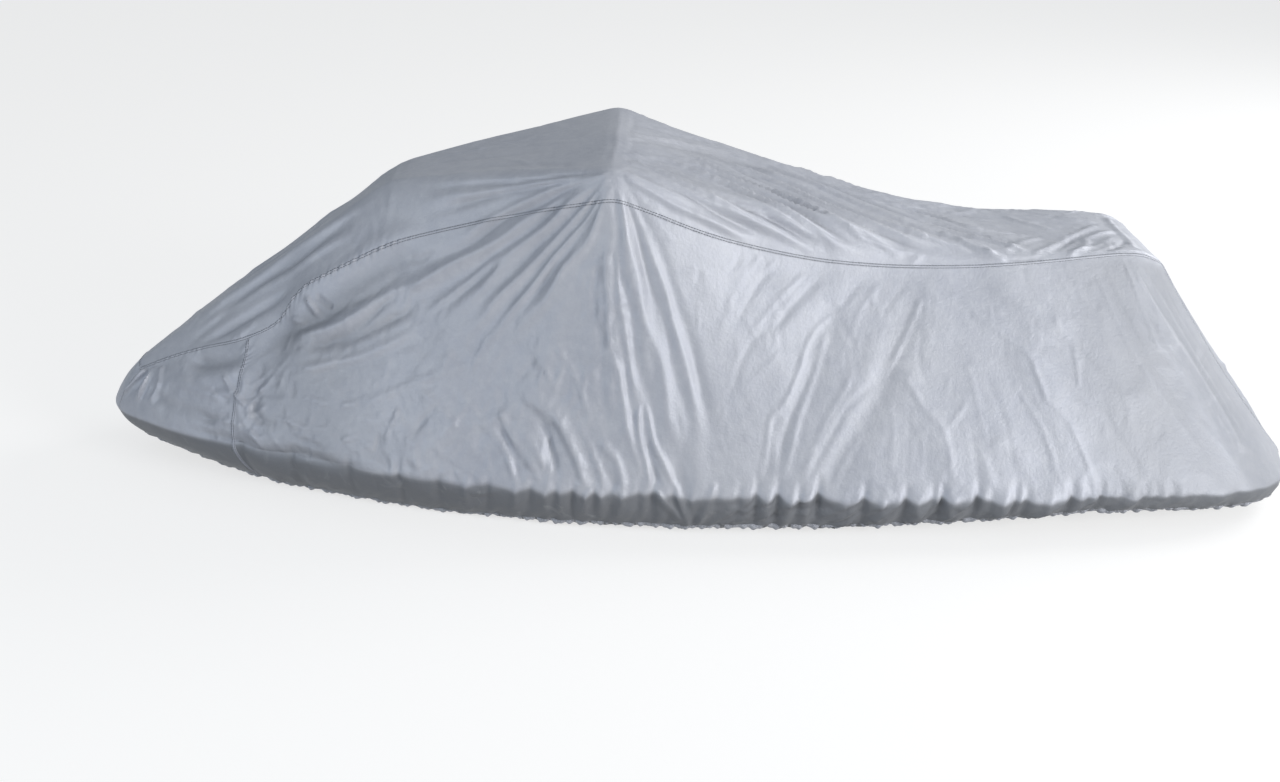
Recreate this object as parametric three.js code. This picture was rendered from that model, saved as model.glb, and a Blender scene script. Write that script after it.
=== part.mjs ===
// Personal watercraft cover: a fitted cloth cover, standing as it hangs over
// the craft that it is made for.  The craft itself is not part of it.
//
// Millimetres.  +X runs aft, +Y to starboard, +Z up.  The origin is the mount
// under the roof, midway between the two handlebar peaks.
//
// The cloth is one closed surface of stations and girths:
//   station  runs aft from the bow, roughly as X along the seam
//   girth    runs from the centre line over the crown to the seam, then down
//            the side to the rim, under it, and in to the hem
// Four panels are cut from that surface along the seams.

import * as THREE from "three";

// ---- sizes -----------------------------------------------------------------

const CLOTH = 1.2;              // thickness of the coated cloth
const SEAM_GAP = 0.2;           // each panel stops this short of a seam
const NOSE = -1390;             // station where the top panel starts
const BOW = -1460;              // station of the bow centre line
const UPRIGHT = -1020;          // station of the upright seam beside the bow
const REAR = 1460;              // station of the seam down the stern

// girth of each line
const CROWN_G = 1;
const SEAM_G = 1.35;
const SIDE_G = 3;
const RIM_G = 4.5;
const TUCK_G = 4.85;
const HEM_G = 5.2;

const LINE_GIRTHS = [0, CROWN_G, SEAM_G, SIDE_G, RIM_G, TUCK_G, HEM_G];
const SEAM_ROUND = 0.25;
const SIDE_ROUND = 1.2;
const RIM_ROUND = 0.22;
const TUCK_ROUND = 0.3;

// ---- lines of the cover, port half -----------------------------------------
// columns: station, x, out from the centre plane, z, rounding at the station

const CROWN = [
  [-1390, -1402, 30, -658, 30],     // front edge of the top panel
  [-1250, -1255, 60, -544, 100],
  [-1000, -1000, 90, -366, 150],
  [-740, -740, 100, -185, 120],
  [-630, -633, 120, -103, 60],      // hood corner
  [-550, -550, 150, -84, 60],
  [-20, -20, 368, 2, 20],          // handlebar peak
  [20, 12, 368, 0, 30],
  [110, 105, 354, -38, 60],
  [340, 344, 304, -112, 150],
  [710, 714, 235, -206, 200],       // front of the seat
  [950, 950, 212, -254, 150],
  [1250, 1250, 190, -263, 150],
  [1370, 1365, 170, -266, 40],
  [1420, 1422, 160, -276, 30],      // rear of the seat
  [1460, 1460, 150, -298, 20],
];

const SEAM = [
  [-1390, -1398, 52, -681, 30],
  [-1220, -1228, 130, -601, 100],
  [-1020, -1025, 222, -549, 60],    // head of the upright seam
  [-930, -925, 218, -499, 40],
  [-870, -868, 205, -397, 40],      // foot of the hood
  [-720, -715, 205, -299, 120],
  [-570, -575, 215, -236, 100],
  [-300, -305, 285, -154, 150],
  [0, 0, 392, -67, 30],             // below the handlebar peak
  [110, 113, 378, -115, 60],
  [220, 216, 360, -171, 80],
  [430, 428, 310, -249, 150],
  [650, 645, 275, -289, 150],
  [960, 965, 240, -293, 150],
  [1200, 1200, 210, -275, 120],
  [1360, 1350, 185, -263, 60],
  [1420, 1420, 180, -272, 30],
  [1460, 1466, 170, -298, 20],
];

const RIM = [
  [-1460, -1506, 0, -793, 20],      // tip of the bow
  [-1390, -1478, 80, -791, 50],
  [-1220, -1310, 212, -786, 120],
  [-1020, -1062, 345, -782, 120],
  [-720, -740, 470, -786, 250],
  [-300, -310, 560, -798, 250],
  [150, 150, 595, -804, 300],
  [800, 800, 600, -818, 300],       // widest
  [1200, 1260, 575, -821, 200],
  [1340, 1560, 535, -826, 50],
  [1400, 1740, 480, -831, 30],
  [1430, 1808, 402, -838, 20],      // stern corner
  [1460, 1845, 250, -826, 20],
];

const HEM = [
  [-1460, -1437, 0, -884, 20],
  [-1390, -1400, 55, -882, 50],
  [-1220, -1220, 152, -904, 120],
  [-1020, -1000, 262, -927, 120],
  [-720, -700, 372, -932, 250],
  [-300, -310, 475, -931, 250],
  [150, 150, 545, -924, 300],
  [800, 800, 535, -919, 300],
  [1200, 1240, 530, -873, 200],
  [1340, 1530, 495, -884, 50],
  [1400, 1712, 448, -898, 30],
  [1430, 1786, 378, -900, 20],
  [1460, 1818, 240, -898, 20],
];

// columns: station, rounding of the crown, fullness of the side, of the tuck
const FULLNESS = [
  [-1460, 0.10, 20, 20],
  [-1300, 0.20, 20, 25],
  [-1020, 0.35, 20, 30],
  [-620, 0.25, 10, 28],
  [-400, 0.12, 6, 26],
  [-100, 0.10, 0, 22],
  [100, 0.10, -4, 22],
  [600, 0.25, 0, 22],
  [1250, 0.25, 10, 20],
  [1400, 0.25, -20, 18],
  [1460, 0.25, -26, 18],
];

// centre line down the stern
// columns: share of the way down, x, y, z, rounding
const STERN = [
  [0.00, 1466, 0, -295, 0.01],
  [0.25, 1600, 0, -486, 0.15],
  [0.78, 1850, 0, -809, 0.10],
  [0.90, 1845, 0, -856, 0.06],
  [1.00, 1824, 0, -898, 0.02],
];

// ---- folds -----------------------------------------------------------------
// A fold is a soft ridge (rise above 0) or trough (rise below 0) along a line
// that may bend sideways by `bend` at its middle.
// columns: from a, from b, to a, to b, bend, rise, half width

// port side, a = x and b = z
const PORT_FOLDS = [
  [1, -110, 103, -800, -12, 17, 34],        // steep ridge under the peak
  [39, -140, 200, -915, -8, -20, 32],       // deep trough behind it
  [148, -440, 222, -800, 0, 12, 30],
  [-5, -60, -632, -342, 0, 8, 34],          // fan forward of the peak
  [-30, -90, -630, -420, 6, -9, 34],
  [-20, -80, -496, -490, 0, 10, 38],
  [-20, -120, -340, -560, 0, -9, 36],
  [-110, -250, -230, -640, 0, 8, 40],
  [610, -291, 393, -440, 0, 9, 38],         // aft side, leaning forward
  [568, -370, 350, -790, 24, -12, 42],
  [686, -460, 475, -785, 10, 13, 40],
  [787, -350, 535, -790, 20, -15, 42],
  [758, -520, 877, -795, 10, 10, 40],
  [925, -306, 1312, -654, 0, -9, 42],       // aft side, leaning back
  [1089, -480, 1238, -800, 0, 10, 40],
  [1010, -460, 1136, -780, 0, -8, 38],
  [1375, -300, 1650, -800, 0, 10, 38],      // stern corner
  [1415, -310, 1745, -800, 0, -9, 34],
  [-930, -440, -537, -200, 14, 12, 32],     // edge of the hood over the seam
  [-930, -510, -537, -262, 14, -10, 34],
];

// starboard side, a = x and b = z
const STARBOARD_FOLDS = [
  [8, -110, 60, -800, 10, 16, 34],
  [45, -140, 150, -905, 6, -18, 32],
  [180, -420, 262, -800, 0, 12, 32],
  [-10, -70, -600, -380, 0, 9, 36],
  [-25, -100, -540, -470, 0, -9, 36],
  [-20, -110, -400, -580, 8, 10, 38],
  [-110, -260, -230, -700, 0, -8, 40],
  [560, -300, 330, -490, 0, 10, 38],
  [620, -350, 420, -795, 16, -13, 42],
  [760, -400, 600, -790, 0, 13, 40],
  [880, -330, 980, -760, 12, -11, 42],
  [1010, -310, 1260, -700, 0, 10, 42],
  [1150, -340, 1400, -760, -10, -10, 40],
  [1380, -300, 1660, -800, 0, -10, 38],
  [1405, -320, 1730, -800, 0, 9, 34],
  [-910, -440, -560, -215, 12, 11, 32],
  [-910, -510, -560, -280, 12, -9, 34],
];

// top, a = x and b = y outward; the same rows serve both halves, port first
const TOP_FOLDS_PORT = [
  [-10, -30, 440, 20, 12, 8, 34],
  [50, 150, 560, 250, 14, -9, 34],
  [70, 290, 680, 225, -10, 9, 32],
  [240, 110, 880, 190, 0, 9, 34],
  [560, -20, 900, 200, 10, -8, 34],
  [720, 20, 1120, 110, 0, 7, 36],
  [1000, 30, 1330, 150, 0, -6, 34],
];
const TOP_FOLDS_STARBOARD = [
  [30, 60, 480, 140, 12, -8, 34],
  [60, 300, 640, 205, -10, 9, 34],
  [300, 40, 920, 150, 0, 8, 36],
  [640, 170, 1040, 40, 0, -7, 34],
  [980, 140, 1320, 60, 0, 6, 34],
];

// gathers where the cloth turns under the rim
// columns: x, lean of the pleat aft, depth
const PORT_GATHERS = [
  [-620, 20, 5],
  [-330, -15, 6],
  [-90, 20, 6],
  [310, 25, 9],
  [420, -10, 10],
  [545, 25, 8],
  [640, 10, 11],
  [730, -20, 10],
  [865, 25, 9],
  [960, 0, 11],
  [1075, -25, 8],
  [1180, 20, 10],
  [1330, 15, 9],
  [1480, -20, 7],
];
const STARBOARD_GATHERS = [
  [-700, -15, 5],
  [-410, 20, 6],
  [-140, 10, 7],
  [270, -20, 9],
  [385, 20, 9],
  [505, 0, 11],
  [690, 25, 9],
  [800, -15, 10],
  [900, 20, 8],
  [1030, -10, 11],
  [1150, 20, 9],
  [1265, 0, 8],
  [1400, -20, 9],
  [1520, 15, 7],
];
const GATHER_HALF_WIDTH = 26;

// ---- colours ---------------------------------------------------------------

const SILVER_TOP = 0xaeb2bc;
const SILVER_SIDE = 0xc4c8d1;
const SILVER_BOW = 0xb4b8c4;

// ---- small vector helpers --------------------------------------------------

const add = (a, b, s = 1) => [a[0] + s * b[0], a[1] + s * b[1], a[2] + s * b[2]];
const sub = (a, b) => add(a, b, -1);
const mix = (a, b, s) => add(a, sub(b, a), s);
const length = (a) => Math.hypot(a[0], a[1], a[2]);
const unit = (a) => a.map((v) => v / Math.max(length(a), 1e-9));
const cross = (a, b) => [
  a[1] * b[2] - a[2] * b[1],
  a[2] * b[0] - a[0] * b[2],
  a[0] * b[1] - a[1] * b[0],
];
const smooth = (from, to, v) => {
  const s = Math.min(Math.max((v - from) / (to - from), 0), 1);
  return s * s * (3 - 2 * s);
};

// The rounding of a corner at distance `off` from it: a parabola of reach r.
const rounding = (off, r) => Math.max(r - Math.abs(off), 0) ** 2 / (4 * r);

// Value of a table column at a station, in straight runs.
function straight(table, station, column) {
  let i = 0;
  while (i < table.length - 2 && station > table[i + 1][0]) i += 1;
  const s = (station - table[i][0]) / (table[i + 1][0] - table[i][0]);
  return table[i][column] + (table[i + 1][column] - table[i][column]) * s;
}

// Point of a line at a station: straight runs with every corner rounded.
function linePoint(table, station) {
  const point = [1, 2, 3].map((column) => straight(table, station, column));
  for (let i = 1; i < table.length - 1; i += 1) {
    const amount = rounding(station - table[i][0], table[i][4]);
    if (amount > 0) {
      for (let c = 0; c < 3; c += 1) {
        const before = (table[i][c + 1] - table[i - 1][c + 1]) / (table[i][0] - table[i - 1][0]);
        const after = (table[i + 1][c + 1] - table[i][c + 1]) / (table[i + 1][0] - table[i][0]);
        point[c] += (after - before) * amount;
      }
    }
  }
  return point;
}

// ---- the surface, port half with y outward ---------------------------------

// Middle of two lines, moved outward by a fullness.
function fullMiddle(upper, lower, station, amount) {
  const a = linePoint(upper, station);
  const b = linePoint(lower, station);
  const middle = (s) => mix(linePoint(upper, s), linePoint(lower, s), 0.5);
  let out = unit(cross(sub(middle(station + 1), middle(station - 1)), sub(b, a)));
  if (out[1] < 0) out = out.map((v) => -v);
  return add(mix(a, b, 0.5), out, amount);
}

// Points of one station at girths 0, crown, seam, side, rim, tuck and hem.
function stationPoints(station) {
  const crown = linePoint(CROWN, station);
  return [
    [crown[0], 0, crown[2] + 2],
    crown,
    linePoint(SEAM, station),
    fullMiddle(SEAM, RIM, station, straight(FULLNESS, station, 2)),
    linePoint(RIM, station),
    fullMiddle(RIM, HEM, station, straight(FULLNESS, station, 3)),
    linePoint(HEM, station),
  ];
}

// A girth on a list of points, with each corner rounded.
function girthPoint(points, girth, rounds) {
  const g = LINE_GIRTHS;
  let i = 0;
  while (i < g.length - 2 && girth > g[i + 1]) i += 1;
  let point = mix(points[i], points[i + 1], (girth - g[i]) / (g[i + 1] - g[i]));
  for (let k = 1; k < g.length - 1; k += 1) {
    if (rounds[k] > 0) {
      const after = sub(points[k + 1], points[k]).map((v) => v / (g[k + 1] - g[k]));
      const before = sub(points[k], points[k - 1]).map((v) => v / (g[k] - g[k - 1]));
      point = add(point, sub(after, before), rounding(girth - g[k], rounds[k]));
    }
  }
  return point;
}

// Surface from the nose to the stern seam.
function hull(station, girth) {
  const crownRound = straight(FULLNESS, station, 1);
  const rounds = [0, crownRound, SEAM_ROUND, SIDE_ROUND, RIM_ROUND, TUCK_ROUND, 0];
  return girthPoint(stationPoints(station), girth, rounds);
}

// Surface of the bow before the nose, hung from the front edge of the top.
function prow(station, girth) {
  const share = (station - BOW) / (NOSE - BOW);
  const head = hull(NOSE, SEAM_G * share);
  const rim = linePoint(RIM, station);
  const hem = linePoint(HEM, station);
  const out = unit([share - 1.2, share, 0.25]);
  const side = add(mix(head, rim, 0.5), out, straight(FULLNESS, station, 2));
  const tuck = add(mix(rim, hem, 0.5), unit([share - 1.2, share, -0.8]), 18);
  const rounds = [0, 0, 0, SIDE_ROUND, RIM_ROUND, TUCK_ROUND, 0];
  return girthPoint([head, head, head, side, rim, tuck, hem], girth, rounds);
}

// Surface of the stern strip: down 0..1, across 0 (centre) .. 1 (seam).
function stern(down, across) {
  const girthAt = (share) => SEAM_G + (HEM_G - SEAM_G) * share;
  const sheet = (share) => {
    const centre = linePoint(STERN, share);
    const edge = hull(REAR, girthAt(share));
    const bowed = across * across;
    return [
      centre[0] + (edge[0] - centre[0]) * bowed,
      edge[1] * across,
      centre[2] + (edge[2] - centre[2]) * bowed,
    ];
  };
  const join = sub(hull(REAR, SEAM_G * across), sheet(0));
  return add(sheet(down), join, Math.max(1 - down / 0.18, 0) ** 2);
}

// ---- folds on the surface --------------------------------------------------

// Height of one fold at (a, b).
function foldHeight([a0, b0, a1, b1, bend, rise, half], a, b) {
  const da = a1 - a0;
  const db = b1 - b0;
  const run = Math.hypot(da, db);
  const along = ((a - a0) * da + (b - b0) * db) / (run * run);
  if (along <= -0.1 || along >= 1.1) return 0;
  const aside = ((b - b0) * da - (a - a0) * db) / run - bend * 4 * along * (1 - along);
  const fade = smooth(-0.1, 0.12, along) * smooth(1.1, 0.85, along);
  return rise * fade * Math.exp(-((aside / half) ** 2));
}

const foldSum = (folds, a, b) => folds.reduce((sum, fold) => sum + foldHeight(fold, a, b), 0);

// Depth of the gathers under the rim.
function gatherHeight(gathers, x, girth) {
  const reach = smooth(3.9, 4.5, girth) * smooth(5.4, 4.7, girth);
  if (reach === 0) return 0;
  let sum = 0;
  for (const [at, lean, depth] of gathers) {
    const off = (x - at - lean * (girth - RIM_G)) / GATHER_HALF_WIDTH;
    sum -= depth * Math.exp(-off * off);
  }
  return sum * reach;
}

// Height of all folds at a point.  sideShare fades the side's folds away from
// the stern seam, and side is -1 for port and +1 for starboard.
function relief(point, girth, side, sideShare) {
  const [x, y, z] = point;
  const onSide = smooth(1.0, 1.4, girth) * sideShare;
  const onTop = smooth(2.1, 1.35, girth);
  const folds = side < 0 ? PORT_FOLDS : STARBOARD_FOLDS;
  const topFolds = side < 0 ? TOP_FOLDS_PORT : TOP_FOLDS_STARBOARD;
  const gathers = side < 0 ? PORT_GATHERS : STARBOARD_GATHERS;
  let height = onSide * (foldSum(folds, x, z) + gatherHeight(gathers, x, girth));
  if (onTop > 0) height += onTop * foldSum(topFolds, x, y) * smooth(0, 60, y);
  return height;
}

// ---- panels ----------------------------------------------------------------

// A surface function and its outward normal, on one side of the cover.
function sided(surface, side) {
  const place = (u, v) => {
    const p = surface(u, v);
    return [p[0], p[1] * side, p[2]];
  };
  return place;
}

function normalAt(place, u, v, du, dv, flip) {
  const a = sub(place(u + du, v), place(u - du, v));
  const b = sub(place(u, v + dv), place(u, v - dv));
  return unit(cross(a, b).map((value) => value * flip));
}

const hullNormal = (station, girth, side) =>
  normalAt(sided(hull, side), station, girth, 0.5, 0.002, side);
const prowNormal = (station, girth, side) => {
  const at = Math.min(Math.max(station, BOW + 1), NOSE - 1);
  return normalAt(sided(prow, side), at, Math.max(girth, SEAM_G + 0.003), 0.5, 0.002, side);
};
const sternNormal = (down, across, side) => {
  const at = Math.min(Math.max(down, 0.003), 0.997);
  return normalAt(sided(stern, side), at, Math.min(across, 0.99), 0.002, 0.005, side);
};

// Each sample is the outer point of the cloth and its normal.
function sampleHull(station, girth, side) {
  const point = sided(hull, side)(station, girth);
  let normal = hullNormal(station, girth, side);
  if (girth === 0) normal = unit([normal[0], 0, normal[2]]);
  if (station === NOSE && girth <= SEAM_G) {
    const share = girth / SEAM_G;
    const front = prowNormal(BOW + (NOSE - BOW) * share, SEAM_G, side);
    normal = unit(add(normal, front));
    if (girth === 0) normal = unit([normal[0], 0, normal[2]]);
  }
  if (station === REAR && girth >= SEAM_G) {
    const down = (girth - SEAM_G) / (HEM_G - SEAM_G);
    normal = unit(add(normal, sternNormal(down, 1, side)));
  }
  const height = relief([point[0], Math.abs(point[1]), point[2]], girth, side, 1);
  return { point: add(point, normal, height), normal };
}

function sampleProw(station, girth, side) {
  if (girth === SEAM_G) return sampleHull(NOSE, SEAM_G * (station - BOW) / (NOSE - BOW), side);
  const point = sided(prow, side)(station, girth);
  let normal = prowNormal(station, girth, side);
  if (station === BOW) normal = unit([normal[0], 0, normal[2]]);
  return { point, normal };
}

function sampleStern(down, across, side) {
  const girth = SEAM_G + (HEM_G - SEAM_G) * down;
  if (across === 1) return sampleHull(REAR, girth, side);
  const point = sided(stern, side)(down, across);
  let normal = sternNormal(down, across, side);
  if (across === 0) normal = unit([normal[0], 0, normal[2]]);
  const share = across ** 4;
  const height = relief([point[0], Math.abs(point[1]), point[2]], girth, side, share);
  return { point: add(point, normal, height), normal };
}

// Moves the samples on a panel's edge a little toward the panel's middle.
function drawIn(grid, edges) {
  const rows = grid.length;
  const columns = grid[0].length;
  const moved = grid.map((row) => row.map(({ point, normal }) => ({ point, normal })));
  const pull = (i, j, k, l) => {
    const toward = unit(sub(grid[k][l].point, grid[i][j].point));
    moved[i][j].point = add(moved[i][j].point, toward, SEAM_GAP);
  };
  for (let i = 0; i < rows; i += 1) {
    if (edges.left) pull(i, 0, i, 1);
    if (edges.right) pull(i, columns - 1, i, columns - 2);
  }
  for (let j = 0; j < columns; j += 1) {
    if (edges.first) pull(0, j, 1, j);
    if (edges.last) pull(rows - 1, j, rows - 2, j);
  }
  return moved;
}

// Closed cloth from a grid of samples: outer face, inner face and the edges.
function clothMesh(name, grid, colour) {
  const rows = grid.length;
  const columns = grid[0].length;
  const layer = rows * columns;
  const positions = [];
  for (const depth of [0, CLOTH]) {
    for (const row of grid) {
      for (const { point, normal } of row) positions.push(...add(point, normal, -depth));
    }
  }
  const indices = [];
  const quad = (a, b, c, d) => indices.push(a, b, c, a, c, d);
  for (let i = 0; i < rows - 1; i += 1) {
    for (let j = 0; j < columns - 1; j += 1) {
      const a = i * columns + j;
      const b = a + 1;
      const c = a + columns + 1;
      const d = a + columns;
      quad(a, d, c, b);
      quad(layer + a, layer + b, layer + c, layer + d);
    }
  }
  const rim = [];
  for (let j = 0; j < columns - 1; j += 1) rim.push(j);
  for (let i = 0; i < rows - 1; i += 1) rim.push(i * columns + columns - 1);
  for (let j = columns - 1; j > 0; j -= 1) rim.push((rows - 1) * columns + j);
  for (let i = rows - 1; i > 0; i -= 1) rim.push(i * columns);
  for (let k = 0; k < rim.length; k += 1) {
    const a = rim[k];
    const b = rim[(k + 1) % rim.length];
    quad(a, b, layer + b, layer + a);
  }
  const geometry = new THREE.BufferGeometry();
  geometry.setAttribute("position", new THREE.Float32BufferAttribute(positions, 3));
  geometry.setIndex(indices);
  geometry.computeVertexNormals();
  const material = new THREE.MeshStandardMaterial({
    color: colour,
    roughness: 0.45,
    metalness: 0.25,
    side: THREE.FrontSide,
  });
  const mesh = new THREE.Mesh(geometry, material);
  mesh.name = name;
  return mesh;
}

// ---- where the surface is sampled ------------------------------------------

// columns: from, steps.  Each run ends where the next starts.
function runs(table, end) {
  const list = [];
  table.forEach(([from, steps], i) => {
    const to = i + 1 < table.length ? table[i + 1][0] : end;
    for (let k = 0; k < steps; k += 1) list.push(from + (to - from) * k / steps);
  });
  list.push(end);
  return list;
}

const STATIONS = runs([
  [NOSE, 6],
  [UPRIGHT, 2],
  [-900, 4],
  [-700, 3],
  [-560, 6],
  [-120, 4],
  [0, 9],
  [220, 9],
  [680, 10],
  [1180, 3],
  [1320, 6],
], REAR);
const GIRTHS = runs([[SEAM_G, 2], [1.9, 6], [4.0, 4]], HEM_G);
const ACROSS = [0, 0.4, 0.74, 0.86, 1];
const PROW_STATIONS = ACROSS.map((v) => BOW + (NOSE - BOW) * v);
const isBow = (station) => station <= UPRIGHT;

function topPanel() {
  const both = [...ACROSS.slice(1).reverse().map((v) => [v, -1]), [0, -1], ...ACROSS.slice(1).map((v) => [v, 1])];
  const grid = STATIONS.map((station) => both.map(([v, side]) => sampleHull(station, v * SEAM_G, side)));
  for (const girth of GIRTHS.slice(1)) {
    const down = (girth - SEAM_G) / (HEM_G - SEAM_G);
    grid.push(both.map(([v, side]) => sampleStern(down, v, side)));
  }
  return clothMesh("top_panel", drawIn(grid, { left: true, right: true, first: true }), SILVER_TOP);
}

function sidePanel(name, side) {
  const stations = STATIONS.filter((station) => station >= UPRIGHT);
  const grid = stations.map((station) => GIRTHS.map((girth) => sampleHull(station, girth, side)));
  if (side < 0) grid.forEach((row) => row.reverse());
  const edges = { first: true, last: true, left: side > 0, right: side < 0 };
  return clothMesh(name, drawIn(grid, edges), SILVER_SIDE);
}

function bowPanel() {
  const half = (side) => [
    ...PROW_STATIONS.slice(0, -1).map((station) => GIRTHS.map((girth) => sampleProw(station, girth, side))),
    ...STATIONS.filter(isBow).map((station) => GIRTHS.map((girth) => sampleHull(station, girth, side))),
  ];
  const grid = [...half(-1).slice(1).reverse(), ...half(1)];
  return clothMesh("bow_panel", drawIn(grid, { first: true, last: true, left: true }), SILVER_BOW);
}

const cover = new THREE.Group();
cover.name = "watercraft_cover";
cover.add(topPanel());
cover.add(bowPanel());
cover.add(sidePanel("port_side_panel", -1));
cover.add(sidePanel("starboard_side_panel", 1));

export default cover;
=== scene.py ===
"""Personal watercraft cover: four panels of silver coated polyester, sewn with
flat-felled seams and drawn in by an elastic hem, standing as it hangs over its
craft.  Metres, +X aft, +Y to starboard, +Z up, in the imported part's frame.

The cloth is one surface of stations and girths, cut into panels along its
seams.  A station runs aft from the bow, and a girth runs from the centre line
(0) over the crown (1) to the seam (1.35), the side (3), the rim (4.5), the
tuck under it (4.85) and the hem (5.2).  Tables are in millimetres.
"""

import math

import bmesh
import bpy
import numpy as np
from mathutils import Matrix, Vector


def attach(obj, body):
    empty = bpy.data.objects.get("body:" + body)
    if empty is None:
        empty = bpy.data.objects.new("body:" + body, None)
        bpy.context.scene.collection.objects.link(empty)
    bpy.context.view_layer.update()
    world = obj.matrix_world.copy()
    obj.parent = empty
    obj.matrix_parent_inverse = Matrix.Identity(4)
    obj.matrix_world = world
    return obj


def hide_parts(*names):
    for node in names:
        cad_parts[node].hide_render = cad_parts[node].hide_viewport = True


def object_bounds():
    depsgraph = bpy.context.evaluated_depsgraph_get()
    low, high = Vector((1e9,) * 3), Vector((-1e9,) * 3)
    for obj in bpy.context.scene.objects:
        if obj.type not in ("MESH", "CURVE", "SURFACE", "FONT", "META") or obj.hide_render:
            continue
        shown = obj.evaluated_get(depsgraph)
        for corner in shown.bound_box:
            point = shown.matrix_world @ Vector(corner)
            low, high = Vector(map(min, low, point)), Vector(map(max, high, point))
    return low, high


bl_info = {
    "name": "Personal watercraft cover",
    "version": (1, 0, 0),
    "blender": (4, 5, 0),
    "location": "View3D > Sidebar > Cover",
    "description": "Builds a fitted cloth cover for a personal watercraft",
    "category": "Object",
}

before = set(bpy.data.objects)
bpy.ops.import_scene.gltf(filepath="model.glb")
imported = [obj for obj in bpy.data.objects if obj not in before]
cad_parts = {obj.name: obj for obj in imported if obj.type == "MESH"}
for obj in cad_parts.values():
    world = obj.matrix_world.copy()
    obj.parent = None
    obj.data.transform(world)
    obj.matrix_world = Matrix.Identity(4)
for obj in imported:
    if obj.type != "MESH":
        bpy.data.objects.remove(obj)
CAD_BOX = [[float(v) for v in corner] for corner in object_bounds()]
MM = 0.001

# ---- lines of the cover, port half ---------------------------------------------
# columns: station, x, out from the centre plane, z, rounding at the station

NOSE, BOW, UPRIGHT, REAR = -1390.0, -1460.0, -1020.0, 1460.0
CROWN_G, SEAM_G, SIDE_G, RIM_G, TUCK_G, HEM_G = 1.0, 1.35, 3.0, 4.5, 4.85, 5.2
RIM_ROUND = 0.07
LINE_GIRTHS = np.array([0, CROWN_G, SEAM_G, SIDE_G, RIM_G, TUCK_G, HEM_G])

CROWN = np.array([
    (-1390, -1402, 30, -658, 30),
    (-1250, -1255, 60, -544, 100),
    (-1000, -1000, 90, -366, 150),
    (-740, -740, 100, -185, 120),
    (-630, -633, 120, -103, 60),
    (-550, -550, 150, -84, 60),
    (-20, -20, 368, 2, 20),
    (20, 12, 368, 0, 30),
    (110, 105, 354, -38, 60),
    (340, 344, 304, -112, 150),
    (710, 714, 235, -206, 200),
    (950, 950, 212, -254, 150),
    (1250, 1250, 190, -263, 150),
    (1370, 1365, 170, -266, 40),
    (1420, 1422, 160, -276, 30),
    (1460, 1460, 150, -298, 20),
], float)
SEAM = np.array([
    (-1390, -1398, 52, -681, 30),
    (-1220, -1228, 130, -601, 100),
    (-1020, -1025, 222, -549, 60),
    (-930, -925, 218, -499, 40),
    (-870, -868, 205, -397, 40),
    (-720, -715, 211, -320, 120),
    (-570, -575, 221, -250, 100),
    (-300, -305, 285, -154, 150),
    (0, 0, 392, -67, 30),
    (110, 113, 378, -115, 60),
    (220, 216, 360, -171, 80),
    (430, 428, 310, -249, 150),
    (650, 645, 275, -289, 150),
    (960, 965, 240, -293, 150),
    (1200, 1200, 210, -275, 120),
    (1360, 1350, 185, -263, 60),
    (1420, 1420, 180, -272, 30),
    (1460, 1466, 170, -298, 20),
], float)
RIM = np.array([
    (-1460, -1506, 0, -793, 20),
    (-1390, -1478, 80, -791, 50),
    (-1220, -1310, 212, -786, 120),
    (-1020, -1062, 345, -782, 120),
    (-720, -740, 470, -786, 250),
    (-300, -310, 560, -798, 250),
    (150, 150, 595, -804, 300),
    (800, 800, 600, -818, 300),
    (1200, 1260, 575, -821, 200),
    (1340, 1560, 535, -826, 50),
    (1400, 1740, 480, -831, 30),
    (1430, 1808, 402, -838, 20),
    (1460, 1845, 250, -826, 20),
], float)
HEM = np.array([
    (-1460, -1437, 0, -884, 20),
    (-1390, -1400, 55, -882, 50),
    (-1220, -1220, 152, -904, 120),
    (-1020, -1000, 262, -927, 120),
    (-720, -700, 372, -932, 250),
    (-300, -310, 475, -931, 250),
    (150, 150, 545, -924, 300),
    (800, 800, 535, -919, 300),
    (1200, 1240, 530, -873, 200),
    (1340, 1530, 495, -884, 50),
    (1400, 1712, 448, -898, 30),
    (1430, 1786, 378, -900, 20),
    (1460, 1818, 240, -898, 20),
], float)
# columns: station, rounding of the crown, fullness of the side, of the tuck
FULLNESS = np.array([
    (-1460, 0.10, 20, 20),
    (-1300, 0.20, 20, 25),
    (-1020, 0.35, 20, 30),
    (-620, 0.25, 10, 28),
    (-400, 0.12, 6, 26),
    (-100, 0.10, 0, 22),
    (100, 0.10, -4, 22),
    (600, 0.25, 0, 22),
    (1250, 0.25, 10, 20),
    (1400, 0.25, -20, 18),
    (1460, 0.25, -26, 18),
], float)
# columns: share of the way down the stern, x, y, z, rounding
STERN = np.array([
    (0.00, 1466, 0, -295, 0.01),
    (0.25, 1600, 0, -486, 0.15),
    (0.78, 1850, 0, -809, 0.10),
    (0.90, 1845, 0, -856, 0.06),
    (1.00, 1824, 0, -898, 0.02),
], float)

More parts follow.
